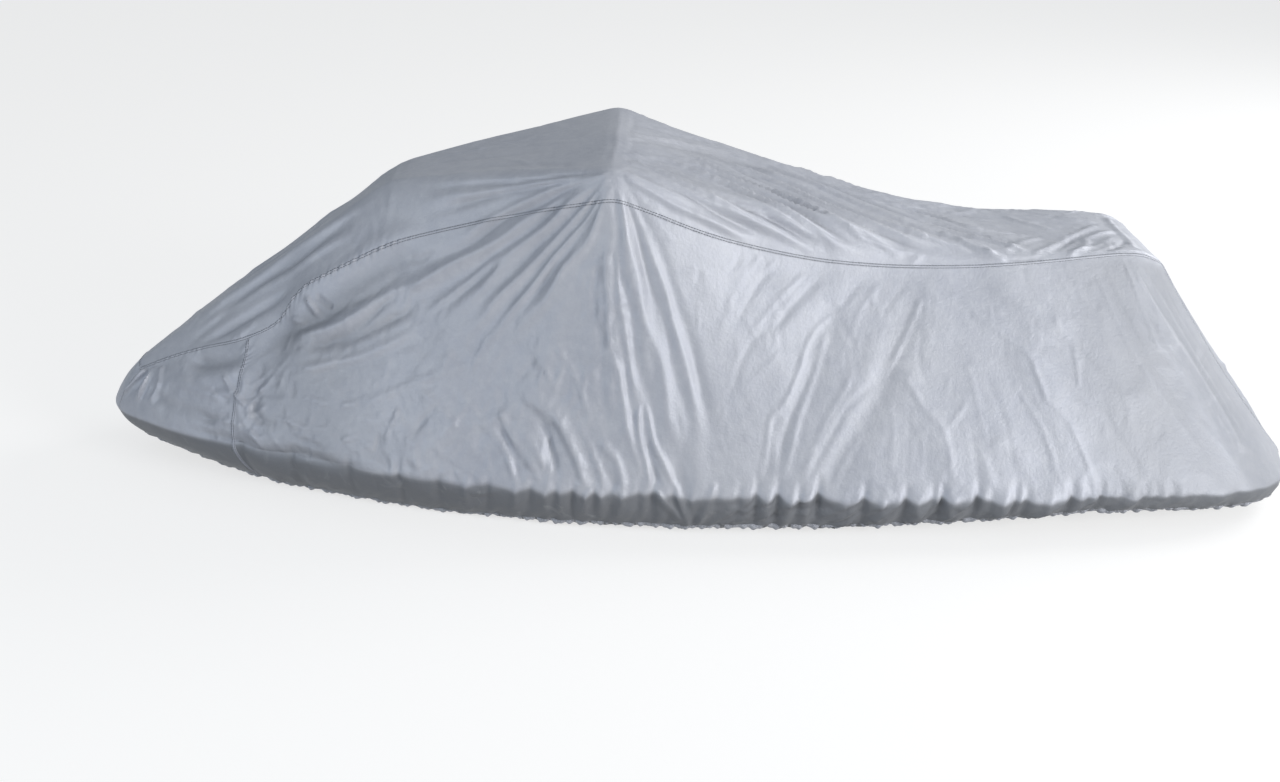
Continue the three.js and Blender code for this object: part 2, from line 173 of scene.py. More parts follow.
# ---- broad folds, softer than in the solid ----------------------------------------------
# many of the port ends come from what a scratch program printed, moved or not
# columns: from a, from b, to a, to b, bend, rise, half width
# columns: from a, from b, to a, to b, bend, rise, half width
# port side, a = x and b = z
BROAD_PORT = [
    (16, -110, 146, -800, -10, 6, 26),
    (45, -140, 205, -915, -8, -6, 26),
    (148, -440, 222, -800, 0, 4, 28),
    (-5, -60, -632, -342, 0, 3, 30),
    (-30, -90, -630, -420, 6, -3, 30),
    (-20, -80, -496, -490, 0, 4, 34),
    (-20, -120, -340, -560, 0, -3, 34),
    (-110, -250, -230, -640, 0, 6, 38),
    (610, -291, 393, -440, 0, 2, 34),
    (568, -370, 350, -790, 24, -3, 40),
    (686, -460, 475, -785, 10, 3, 36),
    (787, -350, 535, -790, 20, -4, 38),
    (758, -520, 877, -795, 10, 2, 36),
    (925, -306, 1312, -654, 0, -2, 40),
    (1089, -480, 1238, -800, 0, 2, 38),
    (1010, -460, 1136, -780, 0, -2, 36),
    (1375, -300, 1650, -800, 0, 3, 34),
    (1415, -310, 1745, -800, 0, -3, 32),
    (-930, -440, -537, -200, 14, 12, 32),
    (-930, -510, -537, -262, 14, -10, 34),
]
# starboard side, a = x and b = z
BROAD_STARBOARD = [
    (8, -110, 60, -800, 10, 15, 32),
    (45, -140, 150, -905, 6, -16, 30),
    (180, -420, 262, -800, 0, 10, 30),
    (-10, -70, -600, -380, 0, 7, 32),
    (-25, -100, -540, -470, 0, -7, 32),
    (-20, -110, -400, -580, 8, 8, 34),
    (-110, -260, -230, -700, 0, -6, 38),
    (560, -300, 330, -490, 0, 3, 34),
    (620, -350, 420, -795, 16, -4, 40),
    (760, -400, 600, -790, 0, 4, 38),
    (880, -330, 980, -760, 12, -4, 40),
    (1010, -310, 1260, -700, 0, 4, 40),
    (1150, -340, 1400, -760, -10, -4, 38),
    (1380, -300, 1660, -800, 0, -4, 36),
    (1405, -320, 1730, -800, 0, 4, 34),
    (-910, -440, -560, -215, 12, 11, 32),
    (-910, -510, -560, -280, 12, -9, 34),
]
# top, a = x and b = y outward
BROAD_TOP_PORT = [
    (-10, -30, 440, 20, 12, 4, 34),
    (50, 150, 560, 250, 14, -5, 34),
    (70, 290, 680, 225, -10, 6, 32),
    (240, 110, 880, 190, 0, 5, 34),
    (560, -20, 900, 200, 10, -4, 34),
    (720, 20, 1120, 110, 0, 4, 36),
    (1000, 30, 1330, 150, 0, -4, 34),
]
BROAD_TOP_STARBOARD = [
    (30, 60, 480, 140, 12, -4, 34),
    (60, 300, 640, 205, -10, 6, 34),
    (300, 40, 920, 150, 0, 4, 36),
    (640, 170, 1040, 40, 0, -4, 34),
    (980, 140, 1320, 60, 0, 4, 34),
]
# where the elastic pinches the rim.  About a third of the port stations stand as a scratch
# program printed them, and others were moved a little: they were not placed by hand.
# columns: station, how far the rim is drawn
# up there (below 0 it hangs down in a tip), half width forward and aft of it,
# and the depth of the groove that runs from it to the hem
PINCHES_PORT = np.array([
    (-1000, 9, 34, 24, 3), (-860, 7, 30, 40, 3), (-700, 6, 30, 26, 4), (-560, 8, 26, 34, 4),
    (-455, 6, 22, 18, 4), (-383, -11, 14, 8, -2), (-326, 7, 20, 24, 4), (-253, -12, 16, 9, -3),
    (-216, 6, 14, 12, 4), (-176, -13, 12, 9, -2), (-150, 5, 8, 7, 4), (-141, -7, 6, 9, -2),
    (-108, 9, 10, 10, 3), (-72, -13, 14, 8, -3), (-51, 8, 9, 9, 3), (-32, -11, 9, 7, -2),
    (-5, 10, 12, 10, 3), (20, -11, 12, 8, -3), (62, 10, 16, 14, 3), (99, 16, 12, 14, 6),
    (150, 8, 14, 16, 3), (198, -9, 14, 14, -3), (262, 5, 26, 22, 3), (318, 8, 16, 16, 4),
    (363, 20, 14, 12, 6), (392, -5, 9, 9, -2), (419, 23, 16, 11, 7), (452, -4, 10, 10, -2),
    (474, 13, 11, 10, 5), (500, -4, 8, 8, 0), (522, 27, 12, 26, 8), (590, -7, 20, 18, -2),
    (640, 17, 16, 14, 6), (686, -7, 16, 14, -2), (743, 18, 16, 13, 6), (775, -5, 12, 10, -2),
    (808, 10, 12, 10, 5), (832, 22, 12, 9, 9), (860, -6, 10, 12, -2), (915, 25, 22, 17, 7),
    (948, 6, 8, 8, 3), (978, -10, 14, 12, -3), (1003, 14, 9, 7, 6), (1029, 13, 8, 8, 5),
    (1052, -5, 8, 8, 0), (1078, -9, 10, 10, -3), (1120, 21, 13, 10, 7), (1140, -3, 7, 7, 0),
    (1150, 12, 7, 7, 5), (1172, 20, 9, 10, 7), (1190, 9, 6, 6, 4), (1207, 13, 8, 8, 5),
    (1226, -7, 8, 8, -2), (1243, 13, 8, 8, 5), (1261, 9, 7, 8, 4), (1285, 11, 9, 9, 5),
    (1310, 8, 8, 8, 4), (1326, 8, 7, 7, 3), (1345, -3, 8, 8, 0), (1368, 7, 8, 8, 4),
    (1390, 5, 6, 6, 3), (1412, 5, 6, 6, 3), (1434, 5, 6, 6, 3),
], float)
PINCHES_STARBOARD = np.array([
    (-960, 8, 30, 26, 3), (-790, 7, 34, 28, 3), (-620, 8, 28, 30, 4), (-500, 7, 22, 22, 4),
    (-420, -10, 12, 14, -3), (-350, 9, 20, 20, 5), (-270, -12, 12, 14, -3), (-215, 9, 14, 14, 5),
    (-150, -10, 10, 14, -2), (-95, 12, 12, 12, 7), (-40, -9, 10, 12, -2), (10, 10, 14, 12, 4),
    (70, -10, 12, 14, -3), (120, 15, 14, 16, 6), (190, -8, 16, 14, -2), (260, 9, 20, 18, 4),
    (340, 20, 12, 16, 6), (395, 18, 12, 14, 6), (460, 24, 16, 18, 8), (520, -6, 18, 16, -2),
    (575, 17, 14, 16, 6), (640, -6, 14, 16, -2), (700, 22, 16, 14, 7), (760, 14, 12, 14, 6),
    (820, -6, 14, 14, -2), (880, 23, 14, 20, 8), (940, -8, 14, 12, -2), (985, 16, 10, 10, 6),
    (1040, 18, 12, 12, 6), (1085, -7, 10, 12, -2), (1130, 19, 12, 12, 7), (1165, 12, 8, 10, 5),
    (1200, 16, 10, 8, 6), (1235, -6, 10, 8, -2), (1265, 13, 8, 10, 5), (1300, 10, 9, 8, 5),
    (1340, 8, 9, 9, 4), (1380, 7, 8, 7, 4), (1420, 6, 7, 7, 3),
], float)

# ---- single folds and creases --------------------------------------------------
# How a kind of fold is made.  columns: sharpness of the crest (2 is round, 1 is
# a knife edge), width at the start and at the end, share of the length over
# which it rises and falls, and how far it leans over to its left
KINDS = {
    "fold": (1.9, 0.8, 0.8, 0.22, 0.28, 0.0),
    "ridge": (1.35, 0.8, 0.9, 0.14, 0.22, 0.0),
    "fan": (1.5, 0.6, 1.1, 0.05, 0.35, 0.0),
    "band": (1.8, 0.36, 1.0, 0.03, 0.42, 0.0),
    "steep": (2.0, 0.55, 1.0, 0.06, 0.22, 0.0),
    "crease": (1.05, 0.9, 0.9, 0.16, 0.16, 0.0),
    "pleat": (1.4, 0.9, 1.0, 0.12, 0.18, 0.9),
    "lump": (2.2, 1.0, 1.0, 0.40, 0.40, 0.0),
}
# These tables were not all placed by hand. Scratch programs worked out most points of the
# Most points of the fan, more than half of those of the steep folds and points of
# many other rows were computed, not given one by one.
FOLDS_PORT = [
    # bow
    ("pleat", 8, 8, [(-1356, 1.45), (-1358, 2.2), (-1382, 3.3)]),
    ("pleat", 9.5, 9, [(-1335, 1.45), (-1322, 2.5), (-1322, 3.75)]),
    ("ridge", 7, 10, [(-1305, 1.5), (-1268, 2.7), (-1270, 3.7)]),
    ("fold", -5.5, 23.5, [(-1225, 1.5), (-1120, 1.75), (-1030, 1.6)]),
    ("fold", 8, 20, [(-1255, 2.35), (-1110, 2.85), (-1000, 3.05)]),
    ("fold", -8, 21.5, [(-1300, 3.0), (-1180, 3.6), (-1040, 3.9)]),
    ("ridge", 3.5, 13.25, [(-1003, 1.95), (-1005, 2.65), (-1013, 3.1), (-990, 3.7), (-940, 4.4)]),
    ("fold", -6, 18, [(-975, 1.8), (-965, 2.6), (-960, 3.4), (-925, 4.0)]),
    ("crease", 7, 7, [(-1070, 2.2), (-1030, 2.8), (-988, 3.3)]),
    ("crease", 5.5, 7.75, [(-972, 3.9), (-934, 4.45)]),
    ("crease", 4.5, 7.75, [(-950, 2.7), (-987, 3.45)]),
    ("crease", 3.25, 7, [(-1050, 3.75), (-995, 3.85)]),
    ("crease", 3.5, 7.25, [(-930, 3.35), (-990, 3.6)]),
    ("crease", -5, 7, [(-1095, 2.7), (-1035, 3.15)]),
    ("crease", -4, 8, [(-1110, 3.9), (-1030, 3.6)]),
    ("ridge", 2, 8.75, [(-1010, 2.9), (-995, 3.25), (-975, 3.65), (-1000, 3.9), (-955, 4.15),
        (-920, 4.4)]),
    ("fold", -4.25, 11, [(-985, 3.0), (-968, 3.3), (-950, 3.7), (-885, 3.9)]),
    ("crease", -2.5, 8.75, [(-1020, 3.1), (-955, 3.05), (-880, 3.25)]),
    ("crease", 2.5, 7.25, [(-962, 2.97), (-920, 2.6)]),
    ("crease", 2.5, 7.25, [(-990, 2.75), (-952, 2.45)]),
    ("ridge", 6, 8, [(-1362, 1.35), (-1370, 2.35), (-1375, 3.6)]),
    ("ridge", 5, 8, [(-1322, 1.45), (-1314, 2.4), (-1320, 3.4)]),
    ("fold", -6, 10, [(-1342, 1.45), (-1342, 2.4), (-1352, 3.4)]),
    ("fold", -9, 32, [(-1195, 1.8), (-1115, 1.75), (-1015, 1.72)]),
    ("fold", 7, 26, [(-1165, 2.3), (-1080, 2.25), (-1000, 2.2)]),
    # under the hood
    ("lump", 4, 24, [(-905, 1.55), (-850, 1.7), (-790, 1.65), (-715, 1.55)]),
    ("fold", -6.5, 20, [(-925, 1.72), (-860, 1.95), (-800, 2.03), (-715, 1.93), (-610, 1.78),
        (-510, 1.66)]),
    ("fold", 5, 20, [(-900, 2.1), (-850, 2.2), (-760, 2.2), (-635, 2.02), (-510, 1.86), (-420, 1.72)]),
    ("fold", -7, 14, [(-820, 2.5), (-700, 2.38), (-605, 2.08), (-510, 1.9)]),
    ("ridge", 5, 8, [(-845, 1.48), (-822, 1.72), (-800, 2.0)]),
    ("crease", 4, 7, [(-675, 3.6), (-590, 3.42), (-500, 3.25), (-435, 3.2)]),
    ("crease", 1.75, 7, [(-765, 3.85), (-705, 3.8)]),
    ("crease", 6, 7.5, [(-895, 1.5), (-850, 1.95)]),
    ("crease", 6, 7.5, [(-850, 1.45), (-815, 1.9)]),
    ("crease", -6, 7.5, [(-820, 1.5), (-770, 1.85)]),
    ("fold", 8, 15.5, [(-880, 2.15), (-765, 2.25), (-625, 1.95)]),
    ("fold", -9, 15.5, [(-845, 2.5), (-675, 2.5), (-510, 2.2)]),
    ("ridge", 7, 12.5, [(-860, 2.85), (-700, 2.85), (-500, 2.55)]),
    ("fold", -4.5, 12.5, [(-565, 1.5), (-520, 1.6), (-470, 1.5)]),
    ("crease", 3.5, 6, [(-765, 3.65), (-680, 3.5), (-600, 3.4), (-490, 3.2), (-345, 3.05)]),
    ("crease", 5.5, 6, [(-722, 4.1), (-676, 4.04), (-635, 4.16)]),
    ("crease", 4, 6, [(-835, 3.4), (-750, 3.55)]),
    ("crease", 4.5, 7, [(-665, 3.75), (-555, 3.82)]),
    ("crease", 4, 6, [(-900, 3.7), (-820, 3.95), (-740, 3.9)]),
    ("crease", -4, 7, [(-860, 4.1), (-760, 4.25)]),
    ("crease", 4.5, 6, [(-600, 4.05), (-560, 3.6)]),
    ("crease", -5, 7, [(-520, 3.9), (-440, 3.5)]),
    ("fold", -12, 23.5, [(-1165, 4.15), (-1020, 4.4), (-825, 4.45), (-610, 4.5)]),
    # fan forward of the handlebar peak, crests and hollows in turn
    ("band", 12.75, 10, [(-12, 1.015), (-116, 1.06), (-207, 1.09), (-285, 1.11), (-367, 1.12),
        (-449, 1.12), (-546, 1.13)]),
    ("band", -11, 8.75, [(-12, 1.01), (-118, 1.03), (-209, 1.05), (-289, 1.06), (-371, 1.05),
        (-470, 1.03), (-560, 1.0)]),
    ("band", -11, 10, [(-12, 1.02), (-114, 1.08), (-204, 1.12), (-283, 1.14), (-363, 1.16),
        (-443, 1.2), (-537, 1.23)]),
    ("band", 15.25, 11.25, [(-12, 1.03), (-112, 1.12), (-196, 1.21), (-270, 1.28), (-345, 1.38),
        (-420, 1.5)]),
    ("band", -12.5, 23.5, [(-10, 1.04), (-120, 1.17), (-190, 1.28), (-264, 1.35), (-330, 1.46),
        (-402, 1.57), (-502, 1.71), (-601, 1.88), (-700, 2.0)]),
    ("band", 16.25, 19.75, [(-8, 1.04), (-114, 1.22), (-180, 1.35), (-248, 1.47), (-317, 1.61),
        (-387, 1.73), (-463, 1.83), (-560, 1.99), (-687, 2.17)]),
    ("band", -9.75, 18.5, [(-8, 1.05), (-110, 1.25), (-172, 1.41), (-237, 1.56), (-301, 1.7),
        (-369, 1.87), (-463, 2.07), (-540, 2.25)]),
    ("ridge", 4, 8.75, [(-270, 1.74), (-315, 1.83), (-357, 1.95), (-445, 2.2), (-500, 2.38)]),
    ("ridge", -3.25, 8.75, [(-265, 1.8), (-303, 1.9), (-348, 2.02), (-430, 2.29)]),
    ("band", 16.25, 21, [(-7, 1.06), (-102, 1.3), (-161, 1.48), (-221, 1.65), (-281, 1.85),
        (-334, 2.09), (-412, 2.39), (-480, 2.65)]),
    ("band", -9.75, 19.75, [(-7, 1.06), (-91, 1.36), (-145, 1.56), (-202, 1.76), (-258, 1.98),
        (-317, 2.2), (-390, 2.46)]),
    ("band", 13, 16.25, [(-7, 1.07), (-79, 1.4), (-133, 1.63), (-186, 1.84), (-241, 2.07),
        (-295, 2.3), (-350, 2.54), (-428, 2.86)]),
    ("band", -7.5, 13, [(-7, 1.08), (-69, 1.44), (-122, 1.67), (-172, 1.9), (-223, 2.13),
        (-272, 2.4), (-335, 2.68)]),
    ("band", 10.75, 13, [(-8, 1.09), (-61, 1.47), (-110, 1.7), (-161, 1.95), (-209, 2.19),
        (-258, 2.45), (-305, 2.71), (-371, 3.08)]),
    ("band", -7.5, 14.5, [(-8, 1.1), (-52, 1.5), (-98, 1.73), (-145, 1.98), (-192, 2.24),
        (-244, 2.5), (-300, 2.78)]),
    ("band", 11.75, 19.75, [(-8, 1.12), (-42, 1.52), (-76, 1.8), (-124, 2.03), (-164, 2.3),
        (-215, 2.53), (-275, 2.85)]),
    # steep folds below the peak
    ("steep", 8, 40, [(-8, 1.12), (-42, 1.52), (-76, 1.8), (-124, 2.03), (-164, 2.3), (-215, 2.53),
        (-275, 2.85)]),
    ("steep", -5, 15, [(-46, 1.96), (-48, 2.19), (-52, 2.51), (-42, 2.85), (-36, 3.18), (-26, 3.6),
        (-17, 4.02)]),
    ("steep", 6, 12.5, [(-22, 1.85), (-24, 2.2), (-19, 2.54), (-13, 2.86), (7, 3.17), (22, 3.59),
        (56, 4.1), (94, 4.5)]),
    ("steep", -3.5, 9, [(-9, 1.85), (-3, 2.21), (3, 2.53), (13, 2.85), (26, 3.15), (42, 3.57),
        (63, 3.98)]),
    ("steep", 4, 9, [(2, 1.85), (9, 2.2), (15, 2.52), (32, 2.83), (40, 3.14), (56, 3.5)]),
    ("steep", -11, 22, [(1, 1.12), (5, 1.56), (7, 1.87), (20, 2.19), (34, 2.49), (50, 2.81),
        (67, 3.11), (87, 3.53), (114, 3.93), (132, 4.25)]),
    ("steep", 11, 22, [(6, 1.1), (22, 1.53), (38, 1.82), (54, 2.12), (73, 2.43), (93, 2.73),
        (110, 3.04), (135, 3.45), (150, 3.91), (168, 4.36)]),
    ("steep", -7, 19, [(9, 1.08), (40, 1.46), (61, 1.75), (83, 2.05), (106, 2.34), (130, 2.64),
        (151, 2.95), (174, 3.39), (205, 4.0)]),
    ("steep", 5, 15, [(12, 1.06), (50, 1.43), (77, 1.7), (104, 1.98), (130, 2.27), (151, 2.59),
        (174, 2.89), (194, 3.22), (228, 3.9)]),
    ("steep", -4, 18, [(14, 1.05), (70, 1.42), (125, 1.9), (175, 2.5), (222, 3.2), (250, 3.9)]),
    ("ridge", 6, 8, [(62, 3.5), (60, 3.85), (80, 4.12), (95, 4.42)]),
    ("ridge", 6, 8, [(66, 3.5), (80, 3.56), (100, 3.9), (130, 4.15), (160, 4.46)]),
    ("fold", -6, 11, [(78, 3.85), (98, 4.15), (118, 4.45)]),
    ("pleat", 7, 11, [(95, 4.4), (128, 4.62), (196, 5.12)]),
    ("ridge", 6, 10, [(150, 4.3), (172, 4.62), (202, 5.12)]),
    ("ridge", 5, 11, [(262, 4.3), (232, 4.7), (208, 5.12)]),
    # middle of the side; broad slanting folds end in tips at the rim
    ("fold", 13, 85, [(-585, 4.4), (-480, 4.05), (-440, 3.6), (-450, 3.1), (-490, 2.6)]),
    ("crease", 5.5, 6.5, [(-202, 3.42), (-176, 3.14), (-153, 3.36), (-124, 3.08)]),
    ("crease", 4.5, 6.5, [(-372, 3.16), (-330, 2.8), (-288, 2.72)]),
    ("crease", -4.5, 7, [(-250, 3.3), (-200, 3.05)]),
    ("ridge", 6, 9, [(-372, 3.52), (-340, 3.76), (-295, 3.96), (-268, 4.2), (-250, 4.5)]),
    ("lump", 7, 26, [(-350, 3.95), (-290, 4.12), (-262, 4.4)]),
    ("ridge", 6, 11, [(-302, 3.58), (-262, 3.9), (-218, 4.2), (-176, 4.5)]),
    ("lump", 7, 24, [(-262, 3.75), (-215, 4.0), (-185, 4.35)]),
    ("fold", -6, 12, [(-305, 3.8), (-262, 4.15), (-232, 4.45)]),
    ("fold", 9, 26, [(-262, 3.32), (-205, 3.5), (-150, 3.68), (-112, 3.95), (-82, 4.2), (-70, 4.5)]),
    ("fold", -9, 15, [(-252, 3.5), (-196, 3.72), (-162, 4.05), (-135, 4.4)]),
    ("ridge", 5, 10, [(-160, 3.66), (-122, 3.9), (-90, 4.2), (-72, 4.5)]),
    ("ridge", 5, 10, [(-95, 3.75), (-60, 4.02), (-37, 4.28), (-30, 4.5)]),
    ("fold", -2.75, 12, [(-100, 3.95), (-68, 4.2), (-52, 4.42)]),
    ("ridge", 7, 12, [(-45, 3.95), (0, 4.08), (18, 4.26), (20, 4.5)]),
    ("fold", -2.75, 11, [(-38, 4.12), (-15, 4.28), (-6, 4.46)]),
    ("ridge", 1.75, 8, [(-420, 4.2), (-405, 4.38), (-388, 4.52)]),
    ("ridge", 3, 8, [(-510, 4.25), (-500, 4.5)]),
    ("ridge", 3.5, 9, [(-480, 4.0), (-430, 4.2), (-365, 4.35), (-300, 4.4)]),
    ("fold", 5, 14, [(-385, 3.84), (-330, 3.76), (-285, 3.64), (-240, 3.5)]),
    ("crease", 3, 7, [(-300, 3.62), (-262, 3.7), (-225, 3.52)]),
    ("crease", 1.25, 7, [(-262, 4.0), (-232, 3.92), (-205, 4.02)]),
    ("crease", 1.25, 7, [(-120, 3.55), (-92, 3.42), (-70, 3.5)]),
    ("crease", 4, 7, [(-520, 3.3), (-420, 3.75), (-345, 4.2)]),
    ("crease", 3.5, 6.5, [(-430, 3.9), (-370, 3.5)]),
    ("crease", -3.5, 7, [(-480, 4.2), (-400, 4.0)]),
    ("ridge", 4, 9, [(-155, 2.85), (-90, 3.35), (-55, 3.8)]),
    # aft side, leaning forward
    ("fold", -2.5, 11.75, [(540, 1.55), (465, 2.0), (395, 2.45)]),
    ("ridge", 1.5, 7.75, [(500, 1.5), (420, 1.95), (345, 2.5)]),
    ("ridge", 2.25, 7.25, [(590, 1.95), (518, 2.32), (477, 2.85), (437, 3.3), (402, 3.5),
        (390, 3.9), (358, 4.4)]),
    ("fold", -1.75, 10, [(560, 2.35), (505, 2.9), (450, 3.5), (415, 4.2)]),
    ("ridge", 1, 7.75, [(435, 2.6), (370, 2.95), (303, 3.25)]),
    ("fold", -1.5, 10, [(415, 2.2), (340, 2.7), (285, 3.4)]),
    ("ridge", 2.25, 10, [(560, 2.2), (490, 3.25), (422, 4.35)]),
    ("ridge", 1.5, 8.5, [(625, 2.75), (540, 3.55), (470, 4.3)]),
    ("fold", -2.25, 10, [(700, 2.85), (645, 3.1), (580, 3.45), (485, 4.4)]),
    ("ridge", 2.25, 7.75, [(805, 1.75), (757, 2.3), (705, 2.85)]),
    ("ridge", 1.75, 7.75, [(700, 2.88), (752, 2.92), (797, 3.3), (842, 3.6), (862, 4.35)]),
    ("crease", 1.5, 7.75, [(842, 3.6), (905, 3.2)]),
    ("fold", -1, 9, [(765, 1.55), (725, 1.8), (690, 2.1)]),
    ("fold", 1, 9, [(705, 1.5), (650, 1.9), (600, 2.5)]),
    ("fold", -1, 9, [(660, 1.5), (600, 1.85), (550, 2.1)]),
    ("fold", 1.5, 10, [(640, 3.6), (590, 4.0), (560, 4.4)]),
    ("fold", -1, 10.75, [(800, 2.2), (790, 2.8), (830, 3.2)]),
    ("fold", 0.7, 9, [(722, 3.6), (702, 4.25)]),
    ("fold", -0.7, 8.5, [(760, 3.4), (742, 4.3)]),
    ("fold", 0.7, 8.5, [(797, 3.45), (778, 4.25)]),
    ("fold", -1, 10, [(905, 3.5), (920, 4.3)]),
    ("fold", 1, 13.5, [(355, 1.5), (303, 2.05), (255, 2.75)]),
    ("fold", -1.75, 10, [(425, 1.45), (362, 1.85), (300, 2.5)]),
    ("crease", 1.5, 7.25, [(420, 1.42), (385, 1.62)]),
    ("crease", 1.5, 7.25, [(375, 1.42), (350, 1.62)]),
    ("crease", -1, 7.25, [(330, 1.42), (300, 1.7)]),
    # aft side, leaning back
    ("ridge", 0.7, 7.25, [(762, 1.4), (812, 1.62), (862, 1.92)]),
    ("fold", -0.7, 7.25, [(800, 1.4), (850, 1.6), (920, 1.9)]),
    ("ridge", 0.7, 7.25, [(835, 1.4), (915, 1.66)]),
    ("fold", -1.75, 10.75, [(905, 1.4), (1050, 2.02), (1165, 2.55), (1245, 3.2)]),
    ("ridge", 1.5, 7.75, [(900, 1.85), (995, 2.3), (1090, 2.66), (1212, 3.55)]),
    ("ridge", 1, 7.75, [(965, 1.78), (1070, 2.25), (1162, 2.62)]),
    ("fold", -1, 8.5, [(890, 2.2), (985, 2.65), (1080, 3.05), (1180, 3.8)]),
    ("crease", 2.25, 7.75, [(1018, 2.42), (1066, 2.7), (1095, 3.24), (1128, 3.26)]),
    ("crease", 2.25, 7.75, [(1095, 3.25), (1136, 3.55), (1156, 4.1), (1162, 4.4)]),
    ("crease", 1.5, 7.25, [(1156, 4.08), (1196, 4.04), (1232, 4.26)]),
    ("crease", 1, 6.75, [(1156, 4.1), (1130, 4.3)]),
    ("ridge", 1.5, 7.75, [(1018, 2.92), (1072, 3.55), (1102, 4.25)]),
    ("crease", 1.5, 7.25, [(1172, 2.55), (1164, 3.12)]),
    ("ridge", 1, 7.75, [(1120, 3.2), (1232, 3.56)]),
    ("fold", -1, 10, [(950, 2.8), (990, 3.5), (1010, 4.2)]),
    ("fold", 1, 10, [(905, 2.7), (930, 3.3), (950, 3.9)]),
    ("fold", -1, 10, [(1200, 3.3), (1225, 3.8), (1250, 4.3)]),
    # stern corner
    ("ridge", 2, 7, [(1362, 1.45), (1381, 2.45), (1396, 3.4), (1390, 4.3)]),
    ("fold", -2, 7, [(1372, 1.5), (1393, 2.5), (1404, 3.4), (1398, 4.25)]),
    ("ridge", 1.5, 6.5, [(1388, 1.4), (1406, 2.65), (1411, 4.2)]),
    ("fold", -1.5, 7.5, [(1340, 1.8), (1362, 2.5), (1380, 3.3), (1378, 4.2)]),
    ("ridge", 1.5, 8, [(1318, 2.1), (1364, 2.95), (1374, 4.2)]),
    ("ridge", 1.5, 8, [(1348, 3.4), (1366, 3.85), (1384, 4.35)]),
    ("ridge", 1.5, 7.5, [(1350, 1.35), (1350, 2.15), (1344, 2.75)]),
    ("fold", -1.5, 10.5, [(1285, 1.45), (1315, 2.55), (1352, 3.7)]),
    ("ridge", 1.5, 9, [(1262, 1.5), (1290, 2.5), (1330, 3.6), (1345, 4.2)]),
    ("fold", -1, 6.5, [(1425, 1.6), (1432, 3.0), (1428, 4.1)]),
    # under the rim
    ("pleat", 6, 9, [(522, 4.42), (430, 4.62), (318, 5.08)]),
    ("pleat", 5, 8, [(474, 4.45), (392, 4.64), (300, 5.05)]),
    ("pleat", 5, 8, [(419, 4.44), (352, 4.66), (268, 5.08)]),
    ("pleat", 4, 8, [(363, 4.46), (318, 4.66), (240, 5.05)]),
    ("pleat", 5, 8, [(640, 4.42), (578, 4.62), (500, 5.05)]),
    ("pleat", 4, 7, [(700, 4.5), (650, 4.7), (585, 5.08)]),
    ("pleat", 5, 8, [(743, 4.44), (700, 4.64), (640, 5.05)]),
    ("pleat", 5, 8, [(832, 4.42), (800, 4.64), (752, 5.06)]),
    ("pleat", 5, 8, [(915, 4.42), (880, 4.62), (820, 5.05)]),
    ("pleat", 4, 7, [(1003, 4.44), (985, 4.66), (940, 5.04)]),
    ("pleat", 4, 7, [(1120, 4.42), (1090, 4.66), (1040, 5.05)]),
    ("pleat", 4, 7, [(1172, 4.44), (1150, 4.68), (1110, 5.04)]),
    ("crease", -4, 8, [(560, 4.56), (470, 4.7), (380, 5.0)]),
    ("crease", -4, 8, [(690, 4.6), (620, 4.8), (560, 5.08)]),
    ("crease", -4, 8, [(880, 4.6), (850, 4.78), (790, 5.05)]),
    ("crease", 4, 7.5, [(-82, 4.62), (-50, 4.42), (-30, 4.6)]),
    ("crease", 4, 8, [(-18, 4.62), (8, 4.44), (32, 4.58)]),
    ("crease", -3, 9, [(-108, 4.45), (-112, 4.7), (-104, 5.1)]),
    ("ridge", 4, 9.5, [(-395, 4.5), (-350, 4.62), (-295, 4.55)]),
    ("ridge", 3, 10.5, [(-560, 4.55), (-600, 5.0)]),
    ("ridge", 3, 10.5, [(-820, 4.6), (-850, 5.0)]),
]
